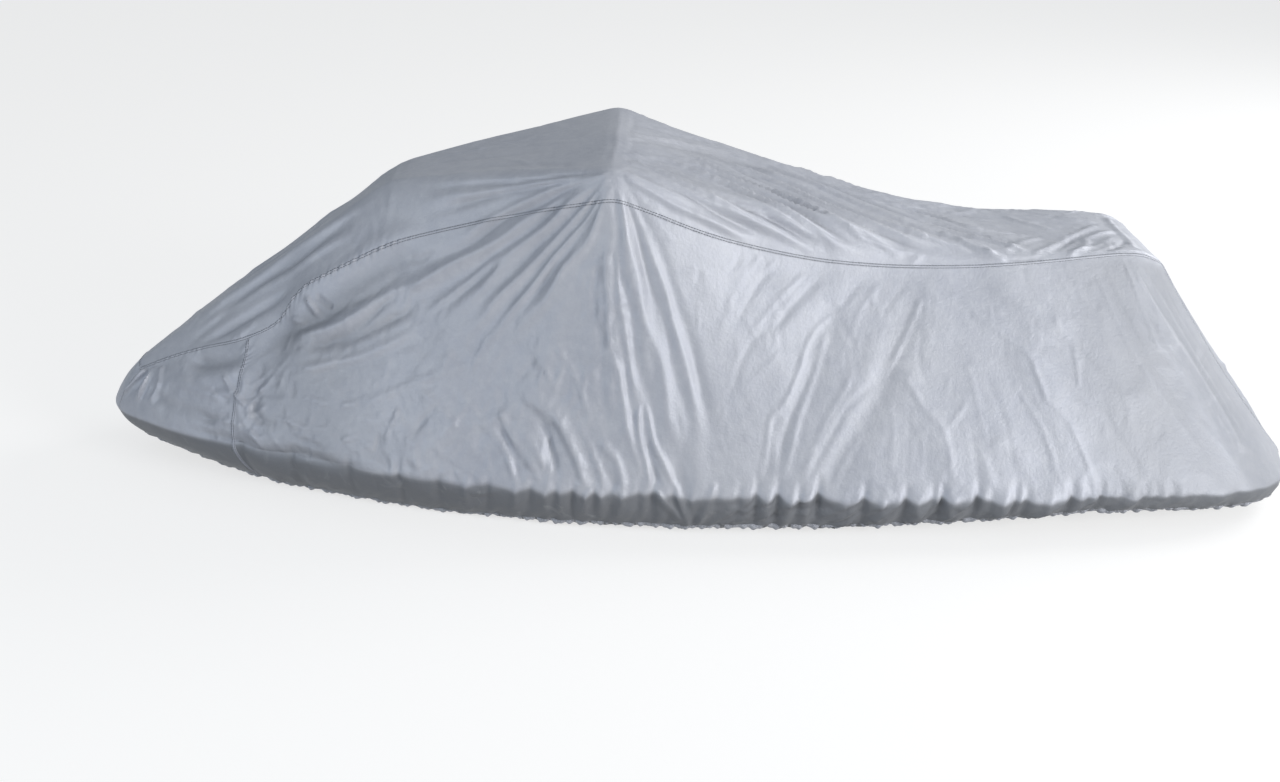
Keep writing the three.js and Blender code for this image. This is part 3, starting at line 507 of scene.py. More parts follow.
FOLDS_STARBOARD = [
    ("pleat", 8, 9, [(-1350, 1.45), (-1345, 2.3), (-1360, 3.5)]),
    ("ridge", 8, 10, [(-1310, 1.5), (-1275, 2.6), (-1262, 3.6)]),
    ("fold", -5, 23.5, [(-1215, 1.6), (-1110, 1.7), (-1030, 1.7)]),
    ("fold", 8, 20, [(-1240, 2.5), (-1120, 2.9), (-1010, 3.2)]),
    ("ridge", 12, 11, [(-1006, 2.0), (-1000, 2.8), (-1010, 3.4), (-960, 4.3)]),
    ("crease", 7, 7, [(-1060, 2.4), (-1000, 3.1)]),
    ("crease", 7.5, 7, [(-930, 3.1), (-985, 3.6)]),
    ("lump", 5.5, 23.5, [(-900, 1.65), (-850, 1.75), (-790, 1.7)]),
    ("fold", -6, 14.5, [(-920, 1.9), (-860, 2.1), (-780, 2.1)]),
    ("fold", 12.5, 16, [(-870, 2.3), (-740, 2.3), (-600, 2.0)]),
    ("fold", -11, 16, [(-830, 2.7), (-660, 2.6), (-520, 2.3)]),
    ("crease", 7.5, 7, [(-760, 3.7), (-620, 3.6), (-470, 3.3), (-350, 3.35)]),
    ("fold", -12, 23.5, [(-1150, 4.2), (-1000, 4.4), (-800, 4.45), (-600, 4.5)]),
    ("fan", -10.5, 12, [(-20, 1.08), (-200, 1.06), (-380, 1.02), (-540, 1.0)]),
    ("fan", 10.5, 12, [(-20, 1.14), (-190, 1.2), (-380, 1.22), (-560, 1.3)]),
    ("fan", -12, 13.5, [(-16, 1.24), (-150, 1.36), (-360, 1.5), (-590, 1.8)]),
    ("fan", 14, 15.5, [(-15, 1.3), (-170, 1.6), (-380, 2.0), (-600, 2.45)]),
    ("fan", -12, 14.5, [(-12, 1.38), (-120, 1.7), (-290, 2.3), (-480, 2.9)]),
    ("fan", 12, 13.5, [(-10, 1.44), (-70, 1.75), (-220, 2.4), (-380, 3.1)]),
    ("fan", -10.5, 13, [(-8, 1.48), (-50, 1.9), (-150, 2.6), (-270, 3.4)]),
    ("fan", 11, 11.5, [(0, 1.42), (0, 1.8), (8, 2.6), (35, 3.5), (70, 4.4)]),
    ("fan", -11, 11.5, [(10, 1.4), (28, 1.7), (70, 2.7), (110, 3.6), (140, 4.3)]),
    ("fan", 11, 11, [(20, 1.35), (66, 1.8), (112, 2.7), (150, 3.5), (190, 4.2)]),
    ("fan", -8, 12.5, [(50, 1.3), (110, 1.7), (170, 2.6), (215, 3.5), (240, 4.2)]),
    ("pleat", 8, 11, [(110, 4.3), (140, 4.6), (190, 5.1)]),
    ("ridge", 6, 11, [(240, 4.3), (220, 4.7), (200, 5.1)]),
    ("lump", 6.25, 25.5, [(-380, 3.7), (-260, 4.0)]),
    ("lump", -6.25, 22.5, [(-260, 3.3), (-140, 3.6)]),
    ("lump", 6.25, 21, [(-190, 4.1), (-60, 4.3)]),
    ("crease", 7.5, 7, [(-220, 3.3), (-190, 3.1), (-160, 3.35)]),
    ("fold", -3.5, 11.5, [(560, 1.5), (480, 2.1), (400, 2.7)]),
    ("ridge", 3.5, 8, [(600, 2.0), (520, 2.6), (450, 3.4), (400, 4.3)]),
    ("ridge", 2.5, 8.5, [(700, 2.0), (640, 2.9), (560, 3.6), (500, 4.3)]),
    ("fold", -3, 10.5, [(720, 2.6), (650, 3.3), (600, 4.2)]),
    ("ridge", 2, 7, [(860, 1.7), (800, 2.4), (780, 3.2), (810, 4.2)]),
    ("crease", 2, 7, [(780, 3.1), (850, 3.4), (920, 3.3)]),
    ("fold", 1.5, 9, [(700, 3.6), (690, 4.3)]),
    ("fold", -1.5, 9.5, [(900, 3.4), (910, 4.3)]),
    ("fold", -3, 11, [(940, 1.4), (1060, 2.1), (1180, 2.8), (1250, 3.4)]),
    ("ridge", 2.5, 8.5, [(980, 1.9), (1080, 2.5), (1190, 3.2), (1260, 4.0)]),
    ("crease", 3.5, 7, [(1040, 2.6), (1080, 3.1), (1130, 3.4), (1150, 4.3)]),
    ("crease", 2, 6.5, [(1150, 3.9), (1220, 4.1)]),
    ("ridge", 2, 8, [(1360, 1.5), (1385, 2.6), (1392, 4.2)]),
    ("fold", -2, 8, [(1378, 1.5), (1400, 2.6), (1402, 4.2)]),
    ("ridge", 2, 9, [(1310, 2.0), (1350, 3.0), (1368, 4.2)]),
    ("fold", -2, 11.5, [(1270, 1.5), (1310, 2.6), (1345, 3.8)]),
    ("pleat", 2.5, 8, [(480, 4.4), (420, 4.7), (370, 5.0)]),
    ("pleat", 2.5, 8, [(760, 4.4), (720, 4.7), (690, 5.0)]),
    ("pleat", 2.5, 8, [(1020, 4.4), (990, 4.7), (950, 5.0)]),
    ("ridge", 1.75, 11, [(-500, 4.55), (-530, 5.0)]),
]
# top; a girth below 0 is to starboard here
FOLDS_TOP = [
    # front slope and hood
    ("fold", -9, 18, [(-1260, 1.32), (-1130, 1.1), (-1025, 0.95), (-850, 1.0), (-680, 1.05)]),
    ("ridge", 6, 13, [(-1200, 1.15), (-1035, 1.0), (-860, 1.08), (-700, 1.14)]),
    ("fold", -8, 13, [(-1150, 1.28), (-1065, 1.2), (-970, 1.18), (-865, 1.22)]),
    ("ridge", 5, 12, [(-1190, 0.95), (-1005, 0.8), (-790, 0.88), (-640, 1.0)]),
    ("ridge", 4, 7, [(-1052, 1.34), (-1000, 1.24)]),
    ("ridge", 4, 7, [(-1075, 1.33), (-1030, 1.26)]),
    ("fold", -2.5, 16, [(-880, 1.3), (-760, 1.28), (-660, 1.2)]),
    ("fold", -5, 12.5, [(-1220, 1.3), (-1050, 1.22), (-880, 1.15)]),
    ("fold", -5, 16, [(-1150, 0.2), (-950, 0.1), (-780, 0.25)]),
    ("ridge", 4, 12.5, [(-1100, -0.6), (-930, -0.8), (-760, -0.7)]),
    ("crease", 1.5, 12, [(-606, 0.9), (-610, 1.12), (-632, 1.32)]),
    ("crease", 2, 12, [(-618, -0.9), (-620, -0.3), (-616, 0.2), (-606, 0.9)]),
    ("crease", 1.5, 9, [(-700, 0.9), (-660, 1.15), (-650, 1.33)]),
    ("crease", -1.5, 9, [(-740, 1.0), (-705, 1.3)]),
    # roof between the hood and the handlebar
    ("fold", -2, 16, [(-560, 0.05), (-350, 0.2), (-150, 0.3)]),
    ("ridge", 2, 12, [(-540, -0.5), (-300, -0.2), (-60, 0.15)]),
    ("ridge", 2, 12, [(-430, -0.35), (-170, -0.42)]),
    ("fold", -2, 18, [(-500, 0.55), (-300, 0.65), (-90, 0.8)]),
    ("ridge", 2, 12, [(-470, 0.8), (-250, 0.85), (-40, 0.98)]),
    ("crease", 2, 8, [(-330, 0.3), (-240, 0.6), (-200, 0.85)]),
    ("crease", 1.5, 9, [(5, -0.98), (0, -0.4), (0, 0.3), (-8, 0.98)]),
    ("fold", -2, 14, [(45, -0.9), (40, -0.2), (42, 0.4), (30, 0.92)]),
    # falling aft from the handlebar to the seat
    ("fan", 10, 11.5, [(20, 0.72), (105, 0.72), (265, 1.0), (425, 1.16), (560, 1.3)]),
    ("fan", -10, 10.5, [(18, 0.62), (100, 0.6), (280, 0.9), (450, 1.12), (590, 1.28)]),
    ("fan", 8, 10.5, [(18, 0.5), (95, 0.42), (290, 0.72), (470, 1.06), (610, 1.26)]),
    ("ridge", 10.75, 10, [(90, 0.2), (295, 0.5), (500, 1.02), (640, 1.25)]),
    ("fold", -9.5, 10, [(100, 0.1), (310, 0.4), (515, 0.92), (670, 1.23)]),
    ("ridge", 7.5, 8.5, [(120, 0.0), (320, 0.3), (530, 0.8), (700, 1.2)]),
    ("fold", -9.5, 10, [(150, -0.1), (360, 0.32), (570, 0.86), (735, 1.22)]),
    ("ridge", 10, 9, [(170, -0.2), (400, 0.35), (600, 0.9), (765, 1.24)]),
    ("fold", -7.5, 9, [(200, -0.2), (415, 0.38), (620, 0.96), (795, 1.23)]),
    ("ridge", 7.5, 8.5, [(225, -0.15), (430, 0.42), (635, 1.02), (825, 1.22)]),
    ("fold", -8, 9, [(260, -0.25), (455, 0.28), (650, 0.86), (840, 1.17)]),
    ("ridge", 9.5, 9, [(300, -0.3), (480, 0.15), (660, 0.72), (850, 1.12)]),
    ("fold", -7.5, 8.5, [(320, -0.42), (515, 0.1), (710, 0.7), (890, 1.05)]),
    ("ridge", 8, 9, [(340, -0.5), (550, 0.05), (755, 0.7), (930, 1.0)]),
    ("ridge", 8, 9, [(400, -0.7), (580, -0.2), (790, 0.4), (960, 0.9)]),
    ("fold", -7.5, 9, [(440, -0.85), (610, -0.4), (820, 0.2), (985, 0.7)]),
    ("fan", -6.75, 10.5, [(30, 0.1), (130, -0.2), (300, -0.42), (440, -0.1)]),
    ("fan", 7.5, 10.5, [(30, -0.15), (150, -0.4), (280, -0.6), (420, -0.5)]),
    ("fan", -6.75, 10.5, [(30, -0.45), (160, -0.65), (300, -0.8), (470, -0.75)]),
    ("ridge", 6, 8.5, [(65, -0.4), (225, -0.4), (390, 0.0)]),
    ("crease", 5.5, 7.25, [(60, 0.35), (180, 0.2), (330, 0.12)]),
    ("fan", 8, 10.5, [(25, 1.0), (70, 1.1), (215, 1.2), (375, 1.31)]),
    ("fan", -8, 9.5, [(22, 0.9), (100, 0.95), (240, 1.1), (400, 1.24)]),
    ("fan", 6.75, 8.5, [(22, 0.8), (100, 0.84), (250, 1.04), (410, 1.18)]),
    ("ridge", 6.75, 9, [(480, -0.9), (630, -0.62), (870, -0.15), (1010, 0.3)]),
    ("fold", -6.75, 9, [(505, -0.4), (680, -0.35), (880, -0.05), (1010, 0.5)]),
    ("ridge", 6, 8.5, [(560, -0.95), (720, -0.7), (880, -0.55), (1000, -0.45)]),
    ("ridge", 6, 8.5, [(600, -0.75), (760, -0.5), (900, -0.45)]),
    ("crease", 5.5, 8.5, [(650, -0.25), (880, -0.3), (1080, -0.25)]),
    ("crease", 4, 8.5, [(700, -0.6), (900, -0.75), (1100, -0.65)]),
    ("ridge", 6.75, 9, [(735, -0.35), (945, 0.15), (1160, 0.42)]),
    ("fold", -8.75, 9.5, [(800, 0.1), (980, 0.5), (1130, 0.95)]),
    ("ridge", 7.5, 8.5, [(840, 0.3), (1000, 0.72), (1110, 1.1)]),
    ("ridge", 6.75, 9, [(860, 0.55), (960, 0.9), (1010, 1.25)]),
    ("crease", 6.75, 8.5, [(900, 0.75), (970, 1.05), (1040, 1.28)]),
    ("crease", 3, 11.5, [(1090, -0.5), (1215, 0.15)]),
    ("crease", 3.25, 11.5, [(1020, 1.1), (1090, 0.75), (1165, 0.4)]),
    ("crease", 3.25, 11.5, [(1100, 1.25), (1160, 0.9), (1205, 0.6)]),
    ("crease", 3.25, 11.5, [(1205, 0.6), (1285, 0.2), (1360, -0.2)]),
    ("ridge", 4, 11.5, [(1200, 1.3), (1260, 0.9), (1290, 0.5)]),
    ("fold", -4, 12.75, [(1170, 1.1), (1240, 0.5), (1330, 0.1)]),
    ("ridge", 4, 11.5, [(1260, 0.6), (1330, 0.3), (1400, 0.05)]),
    ("ridge", 3.25, 11.5, [(1230, 1.1), (1300, 0.8), (1370, 0.4)]),
    ("fold", -4, 12.75, [(1290, 1.25), (1350, 0.9), (1400, 0.5)]),
    ("crease", 3, 11.5, [(1150, -0.9), (1270, -0.5), (1380, -0.35)]),
    ("crease", 4, 11.5, [(1405, -1.0), (1400, -0.3), (1402, 0.4), (1395, 1.1)]),
]
# stern strip; rows: kind, rise, half width, points (share down, out to starboard)
FOLDS_STERN = [
    ("fold", -6, 24, [(0.04, -0.2), (0.25, -0.15), (0.6, -0.3), (0.9, -0.35)]),
    ("ridge", 6, 18, [(0.03, 0.3), (0.3, 0.25), (0.7, 0.45), (0.95, 0.5)]),
    ("ridge", 5, 16, [(0.02, -0.7), (0.35, -0.6), (0.8, -0.75)]),
    ("fold", -5, 18, [(0.05, 0.75), (0.4, 0.7), (0.85, 0.8)]),
    ("crease", 4, 10, [(0.45, -0.9), (0.52, -0.3), (0.5, 0.1)]),
    ("crease", 4, 10, [(0.6, 0.9), (0.66, 0.5), (0.62, 0.2)]),
    ("fold", 5, 22, [(0.4, 0.0), (0.7, 0.05), (0.85, 0.0)]),
    ("crease", 3, 10, [(0.2, -0.6), (0.28, 0.0), (0.24, 0.6)]),
]


# ---- helpers -------------------------------------------------------------------


def unit(vectors):
    """Each vector over its own length."""
    return vectors / np.maximum(np.linalg.norm(vectors, axis=-1, keepdims=True), 1e-9)


def smooth(low, high, value):
    """0 below low, 1 above high, and the cubic 3s^2 - 2s^3 between."""
    share = np.clip((value - low) / (high - low), 0, 1)
    return share * share * (3 - 2 * share)


def rounding(off, reach):
    """Parabola (reach - |off|)^2 / 4 reach that rounds a corner at off 0."""
    return np.maximum(reach - np.abs(off), 0) ** 2 / (4 * reach)


def straight(table, station, columns):
    """Columns of a table at each station, in straight runs between its rows."""
    at = table[:, 0]
    row = np.clip(np.searchsorted(at, station) - 1, 0, len(at) - 2)
    share = (station - at[row]) / (at[row + 1] - at[row])
    low, high = table[row][..., columns], table[row + 1][..., columns]
    return low + (high - low) * (share[..., None] if np.ndim(low) > np.ndim(share) else share)


def line_point(table, station):
    """Point of a line at each station: straight runs with each corner rounded."""
    station = np.asarray(station, float)
    slope = np.diff(table[:, 1:4], axis=0) / np.diff(table[:, 0])[:, None]
    bend = rounding(station[..., None] - table[1:-1, 0], table[1:-1, 4])
    return straight(table, station, [1, 2, 3]) + bend @ np.diff(slope, axis=0)


def lattice(u, v, cell, seed):
    """Smooth noise from -1 to 1: random values on a square lattice of the given
    cell, blended by the cubic 3s^2 - 2s^3 between the four nearest."""
    a, b = np.asarray(u) / cell, np.asarray(v) / cell
    low_a, low_b = np.floor(a).astype(int), np.floor(b).astype(int)
    values = np.random.default_rng(seed).uniform(-1, 1, (257, 257))
    s, t = a - low_a, b - low_b
    s, t = s * s * (3 - 2 * s), t * t * (3 - 2 * t)

    def corner(i, j):
        return values[(low_a + i) % 257, (low_b + j) % 257]

    return (corner(0, 0) * (1 - s) + corner(1, 0) * s) * (1 - t) + (
        corner(0, 1) * (1 - s) + corner(1, 1) * s
    ) * t


# ---- the bare surface, port half with y outward, millimetres --------------------


def full_middle(upper, lower, station, amount):
    """Middle of two lines, moved outward by a fullness."""
    a, b = line_point(upper, station), line_point(lower, station)

    def middle(at):
        return (line_point(upper, at) + line_point(lower, at)) / 2

    out = unit(np.cross(middle(station + 1) - middle(station - 1), b - a))
    out *= np.where(out[..., 1:2] < 0, -1, 1)
    return (a + b) / 2 + out * amount[..., None]


def on_girth(points, girth, rounds):
    """Point at each girth on its own list of seven points, corners rounded."""
    span = np.clip(np.searchsorted(LINE_GIRTHS, girth) - 1, 0, 5)
    pick = np.arange(len(girth))
    share = (girth - LINE_GIRTHS[span]) / (LINE_GIRTHS[span + 1] - LINE_GIRTHS[span])
    low = points[pick, span]
    place = low + (points[pick, span + 1] - low) * share[:, None]
    slope = np.diff(points, axis=1) / np.diff(LINE_GIRTHS)[None, :, None]
    for k in range(1, 6):
        reach = np.maximum(rounds[:, k], 1e-6)
        bend = np.where(rounds[:, k] > 0, rounding(girth - LINE_GIRTHS[k], reach), 0)
        place = place + (slope[:, k] - slope[:, k - 1]) * bend[:, None]
    return place


def rim_lift(station, side):
    """How far the elastic draws the rim up at each station: a cusp
    lift * exp(-|off| / half width) for every row of the pinch table."""
    lift = np.zeros_like(station)
    for at, rise, fore, aft, _ in PINCHES_PORT if side < 0 else PINCHES_STARBOARD:
        off = station - at
        lift += rise * np.exp(-np.sqrt(off * off + 9) / np.where(off < 0, fore, aft))
    return lift * (1 - smooth(1436, 1458, station)) * smooth(-1380, -1300, station)


def pinch_groove(station, girth, side):
    """Depth of the grooves that run from the pinches down to the hem."""
    depth = np.zeros_like(station)
    for at, _, _, _, groove in PINCHES_PORT if side < 0 else PINCHES_STARBOARD:
        off = (station - at + 30 * (girth - RIM_G)) / (9 + 9 * np.maximum(girth - RIM_G, 0))
        depth += groove * np.exp(-off * off)
    ends = (1 - smooth(1436, 1458, station)) * smooth(-1380, -1300, station)
    return depth * ends * smooth(4.2, 4.5, girth) * (1 - 0.6 * smooth(4.7, 5.2, girth))


def hull(station, girth, side=0):
    """Surface from the nose to the stern seam: at each station seven points lead
    from the centre line to the hem, and the girth runs along them.  With a side
    given, the rim and the tuck follow the pinches of that side."""
    crown = line_point(CROWN, station)
    points = np.stack([
        crown * [1, 0, 1] + [0, 0, 2],
        crown,
        line_point(SEAM, station),
        full_middle(SEAM, RIM, station, straight(FULLNESS, station, 2)),
        line_point(RIM, station),
        full_middle(RIM, HEM, station, straight(FULLNESS, station, 3)),
        line_point(HEM, station),
    ], 1)
    if side:
        lift = rim_lift(station, side)[:, None]
        points[:, 4] += lift * unit(points[:, 3] - points[:, 4])
        points[:, 5] += 0.5 * lift * unit(points[:, 3] - points[:, 4]) - 0.45 * np.abs(lift) * [0, 1, 0]
    one = np.ones_like(station)
    crown_round = straight(FULLNESS, station, 1)
    rounds = np.stack([0 * one, crown_round, 0.25 * one, 1.2 * one, RIM_ROUND * one, 0.3 * one, 0 * one], 1)
    return on_girth(points, girth, rounds)


def prow(station, girth):
    """Surface of the bow before the nose, hung from the top panel's front edge:
    the share of the way to the nose picks the point of that edge."""
    share = (station - BOW) / (NOSE - BOW)
    one = np.ones_like(station)
    head = hull(np.full_like(station, NOSE), SEAM_G * share)
    rim, hem = line_point(RIM, station), line_point(HEM, station)
    out = unit(np.stack([share - 1.2, share, 0.25 * one], -1))
    under = unit(np.stack([share - 1.2, share, -0.8 * one], -1))
    side = (head + rim) / 2 + out * straight(FULLNESS, station, 2)[:, None]
    points = np.stack([head, head, head, side, rim, (rim + hem) / 2 + 18 * under, hem], 1)
    rounds = np.stack([0 * one, 0 * one, 0 * one, 1.2 * one, RIM_ROUND * one, 0.3 * one, 0 * one], 1)
    return on_girth(points, girth, rounds)


def cover_side(station, girth, side=0):
    """The prow before the nose and the hull behind it."""
    place = hull(np.maximum(station, NOSE), girth, side)
    before = (station < NOSE) & (girth >= SEAM_G)
    if before.any():
        place[before] = prow(station[before], girth[before])
    return place


def stern_strip(down, across):
    """Strip down the stern: down 0..1, across 0 (centre) to 1 (seam).  A bowed
    sheet between the centre line and the seam, by the square of across, joined
    to the top by a correction that fades over the first 0.18 of the way."""

    def sheet(share):
        centre = line_point(STERN, share)
        edge = hull(np.full_like(share, REAR), SEAM_G + (HEM_G - SEAM_G) * share)
        bowed = across * across
        return np.stack([
            centre[:, 0] + (edge[:, 0] - centre[:, 0]) * bowed,
            edge[:, 1] * across,
            centre[:, 2] + (edge[:, 2] - centre[:, 2]) * bowed,
        ], 1)

    join = hull(np.full_like(down, REAR), SEAM_G * across) - sheet(np.zeros_like(down))
    return sheet(down) + join * (np.maximum(1 - down / 0.18, 0) ** 2)[:, None]


def bare(patch, u, v, side):
    """Bare point and outward normal on a patch, "side" or "stern"."""
    surface, du, dv = (cover_side, 0.5, 0.002) if patch == "side" else (stern_strip, 0.002, 0.005)
    mirror = np.array([1, side, 1])
    pinched = surface(u, v, side) if patch == "side" else surface(u, v)
    if patch == "side":
        # the slopes are taken from inside the patch, never across its edges
        low_v = np.where(u < NOSE, SEAM_G + 0.003, 0.003)
        mid_u = np.where(u < NOSE, np.clip(u, BOW + 1, NOSE - 1), np.clip(u, NOSE + 1, REAR - 0.6))
        mid_v = np.clip(v, low_v, HEM_G - 0.003)
    else:
        mid_u, mid_v = np.clip(u, 0.003, 0.997), np.clip(v, 0.006, 0.99)
    along = surface(mid_u + du, mid_v) - surface(mid_u - du, mid_v)
    across = surface(mid_u, mid_v + dv) - surface(mid_u, mid_v - dv)
    normal = unit(np.cross(along, across)) * mirror
    return pinched * mirror, normal


# ---- folds ---------------------------------------------------------------------


def broad_fold(row, a, b):
    """Height of one broad fold: a bell across a line that may bend sideways."""
    a0, b0, a1, b1, bend, rise, half = row
    da, db = a1 - a0, b1 - b0
    run = math.hypot(da, db)
    along = ((a - a0) * da + (b - b0) * db) / (run * run)
    aside = ((b - b0) * da - (a - a0) * db) / run - bend * 4 * along * (1 - along)
    fade = smooth(-0.1, 0.12, along) * (1 - smooth(0.85, 1.1, along))
    return rise * fade * np.exp(-((aside / half) ** 2))


def broad_relief(place, girth, side, side_share):
    """Height of all the solid's folds at each point."""
    x, y, z = place[:, 0], np.abs(place[:, 1]), place[:, 2]
    on_side = smooth(1.0, 1.4, girth) * side_share
    on_top = 1 - smooth(1.35, 2.1, girth)
    side_rows = BROAD_PORT if side < 0 else BROAD_STARBOARD
    top_rows = BROAD_TOP_PORT if side < 0 else BROAD_TOP_STARBOARD
    height = sum(broad_fold(row, x, z) for row in side_rows) * on_side
    height += sum(broad_fold(row, x, y) for row in top_rows) * on_top * smooth(0, 60, y)
    return height


def curve_through(points, step):
    """Points about one step apart on a Catmull-Rom curve through the given ones."""
    points = np.asarray(points, float)
    ends = np.vstack([2 * points[0] - points[1], points, 2 * points[-1] - points[-2]])
    out = []
    for k in range(len(points) - 1):
        a, b, c, d = ends[k : k + 4]
        count = max(int(np.linalg.norm(c - b) / step), 1)
        t = (np.arange(count) / count)[:, None]
        out.append(
            0.5 * (2 * b + (c - a) * t + (2 * a - 5 * b + 4 * c - d) * t**2 + (3 * b - a - 3 * c + d) * t**3)
        )
    return np.vstack([*out, points[-1:]])


def fold_path(points, side):
    """Path of a fold on the bare surface.  A girth below 0 is on the other side."""
    station, girth = np.asarray(points, float).T
    dense = curve_through(np.stack([station, girth * 100], 1), 12.0)
    girth = dense[:, 1] / 100
    place = cover_side(dense[:, 0], np.abs(girth))
    place[:, 1] *= side * np.where(girth < 0, -1, 1)
    return place


def stern_path(points):
    """Path of a fold on the stern strip."""
    dense = curve_through(np.asarray(points, float) * 100, 4.0) / 100
    place = stern_strip(dense[:, 0], np.abs(dense[:, 1]))
    place[:, 1] *= np.where(dense[:, 1] < 0, -1, 1)
    return place


def short_creases(seed, count, stations, girths, side, lean, rises=(0.3, 1.2), spread=38, halves=(12, 48)):
    """Small creases at random, each a row with a two-point path.  lean is the
    mean direction in degrees from fore-and-aft."""
    rng = np.random.default_rng(seed)
    station = rng.uniform(*stations, count)
    girth = rng.uniform(*girths, count)
    centre = cover_side(station, np.abs(girth)) * np.stack(
        [station * 0 + 1, np.sign(girth) * side, station * 0 + 1], 1)
    ahead = cover_side(station + 4, np.abs(girth)) - cover_side(station - 4, np.abs(girth))
    down = (cover_side(station, np.abs(girth) + 0.02)
            - cover_side(station, np.maximum(np.abs(girth) - 0.02, 0)))
    mirror = np.stack([station * 0 + 1, np.sign(girth) * side, station * 0 + 1], 1)
    ahead, down = unit(ahead) * mirror, unit(down) * mirror
    angle = np.radians(rng.normal(lean, spread, count))[:, None]
    half = rng.uniform(*halves, count)[:, None]
    run = (ahead * np.cos(angle) + down * np.sin(angle)) * half
    rise = rng.uniform(*rises, count) * rng.choice([-1, 1, 1], count)
    width = rng.uniform(6, 11, count)
    return [("crease", rise[i], width[i], np.stack([centre[i] - run[i], centre[i] + run[i]]))
            for i in range(count)]


def all_folds():
    """Every single fold as (kind, rise, half width, path in millimetres)."""
    rows = [(k, r, w, fold_path(p, -1)) for k, r, w, p in FOLDS_PORT + FOLDS_TOP]
    rows += [(k, r, w, fold_path(p, 1)) for k, r, w, p in FOLDS_STARBOARD]
    rows += [(k, r, w, stern_path(p)) for k, r, w, p in FOLDS_STERN]
    rows += short_creases(11, 130, (-1380, -900), (1.6, 4.4), -1, 20, (0.3, 0.9))
    rows += short_creases(12, 420, (-900, 50), (1.9, 4.45), -1, -25, (0.5, 1.9))
    rows += short_creases(13, 260, (50, 1440), (1.5, 4.45), -1, 60, (0.3, 0.9))
    rows += short_creases(14, 160, (-1380, 0), (1.6, 4.4), 1, 20)
    rows += short_creases(15, 200, (0, 1440), (1.5, 4.4), 1, 60, (0.3, 0.9))
    rows += short_creases(16, 90, (-1350, -620), (-1.2, 1.25), -1, 5)
    rows += short_creases(17, 50, (-600, -30), (-1.1, 1.2), -1, 10)
    rows += short_creases(18, 260, (60, 1430), (-1.25, 1.3), -1, 25, (0.6, 1.8))
    rows += short_creases(19, 110, (-1000, 200), (4.58, 5.1), -1, 120, (0.5, 1.6), 35, (10, 34))
    rows += short_creases(20, 150, (200, 1440), (4.58, 5.1), -1, 135, (0.8, 2.4), 30, (10, 40))
    rows += short_creases(21, 150, (-900, 1440), (4.58, 5.1), 1, 135, (0.8, 2.4), 34, (10, 36))
    rows += short_creases(22, 30, (560, 1300), (3.9, 4.4), -1, 70, (0.4, 1.0), 35, (8, 26))
    rows += short_creases(23, 110, (-640, 40), (3.0, 4.45), -1, 62, (1.2, 3.2), 40, (12, 44))
    rows += short_creases(24, 45, (-1100, -900), (2.4, 4.5), -1, 60, (0.5, 1.5), 50, (10, 30))
    return rows


def fold_relief(place, normal, rows):
    """Height of the single folds at each point, and their sideways lean.  For
    each fold the nearest point of its path gives the share along it and the
    distance aside, and the height is rise times exp(-(aside / width)^sharpness),
    less a shallow trough on both sides of a sharp one.  A fold that widens
    grows as high as it is wide."""
    order = np.argsort(place[:, 0])
    ordered, facing = place[order], normal[order]
    height, shift = np.zeros(len(order)), np.zeros((len(order), 3))
    for number, (kind, rise, half, path) in enumerate(rows):
        sharp, start, end, rising, falling, lean = KINDS[kind]
        reach = 3.0 * half * max(start, end) + 6
        first, last = np.searchsorted(ordered[:, 0], [path[:, 0].min() - reach, path[:, 0].max() + reach])
        window = ordered[first:last]
        near = np.all((window > path.min(0) - reach) & (window < path.max(0) + reach), axis=1)
        pick = first + np.nonzero(near)[0]
        if not len(pick):
            continue
        points = ordered[pick]
        best = np.full(len(pick), np.inf)
        share, foot, ahead = np.zeros(len(pick)), np.zeros((len(pick), 3)), np.zeros((len(pick), 3))
        runs = np.linalg.norm(np.diff(path, axis=0), axis=1)
        done = np.concatenate([[0], np.cumsum(runs)]) / runs.sum()
        for k, run in enumerate(runs):
            step = path[k + 1] - path[k]
            t = np.clip((points - path[k]) @ step / (run * run), 0, 1)
            here = path[k] + t[:, None] * step
            gap = ((points - here) ** 2).sum(1)
            closer = gap < best
            best[closer] = gap[closer]
            share[closer] = (done[k] + t * (done[k + 1] - done[k]))[closer]
            foot[closer] = here[closer]
            ahead[closer] = step / run
        left = np.cross(facing[pick], ahead)
        off = points - foot
        aside = (off * left).sum(1)
        depth = (off * facing[pick]).sum(1)
        away = np.sqrt(np.maximum(best - depth * depth, 0)) * np.sign(aside + 1e-9)
        phase = number * 2.4
        away += 0.22 * half * np.sin(share * runs.sum() / 38 + phase) * smooth(0, 0.2, share)
        width = half * (start + (end - start) * share)
        across = np.abs(away) / width
        bell = np.exp(-(across**sharp))
        if sharp < 1.6:
            bell = bell * 1.15 - 0.22 * np.exp(-(((across - 1.9) / 0.8) ** 2))
        fade = smooth(0, rising, share) * (1 - smooth(1 - falling, 1, share))
        swing = 1 + 0.2 * np.sin(share * 7 + phase * 1.7)
        here = rise * fade * swing * bell * width / (half * max(start, end))
        height[pick] += here
        if lean:
            shift[pick] += left * (lean * here * np.exp(-(across**2)))[:, None]
    out_height, out_shift = np.zeros_like(height), np.zeros_like(shift)
    out_height[order], out_shift[order] = height, shift
    return out_height, out_shift


def seam_pucker(distance, run, rough):
    """Puckers beside a seam at a distance (mm) from it and a run (mm) along it:
    uneven slanting waves that die out away from the seam."""
    wave = np.sin(run / 2.9 + distance * 0.16 + 1.6 * lattice(run, 0 * run, 60, 3))
    wave += 0.6 * np.sin(run / 4.6 - distance * 0.05 + 2.0 * lattice(run, 0 * run, 45, 4))
    reach = 9 + 10 * rough
    return 1.9 * rough * wave * np.exp(-((distance / reach) ** 2))


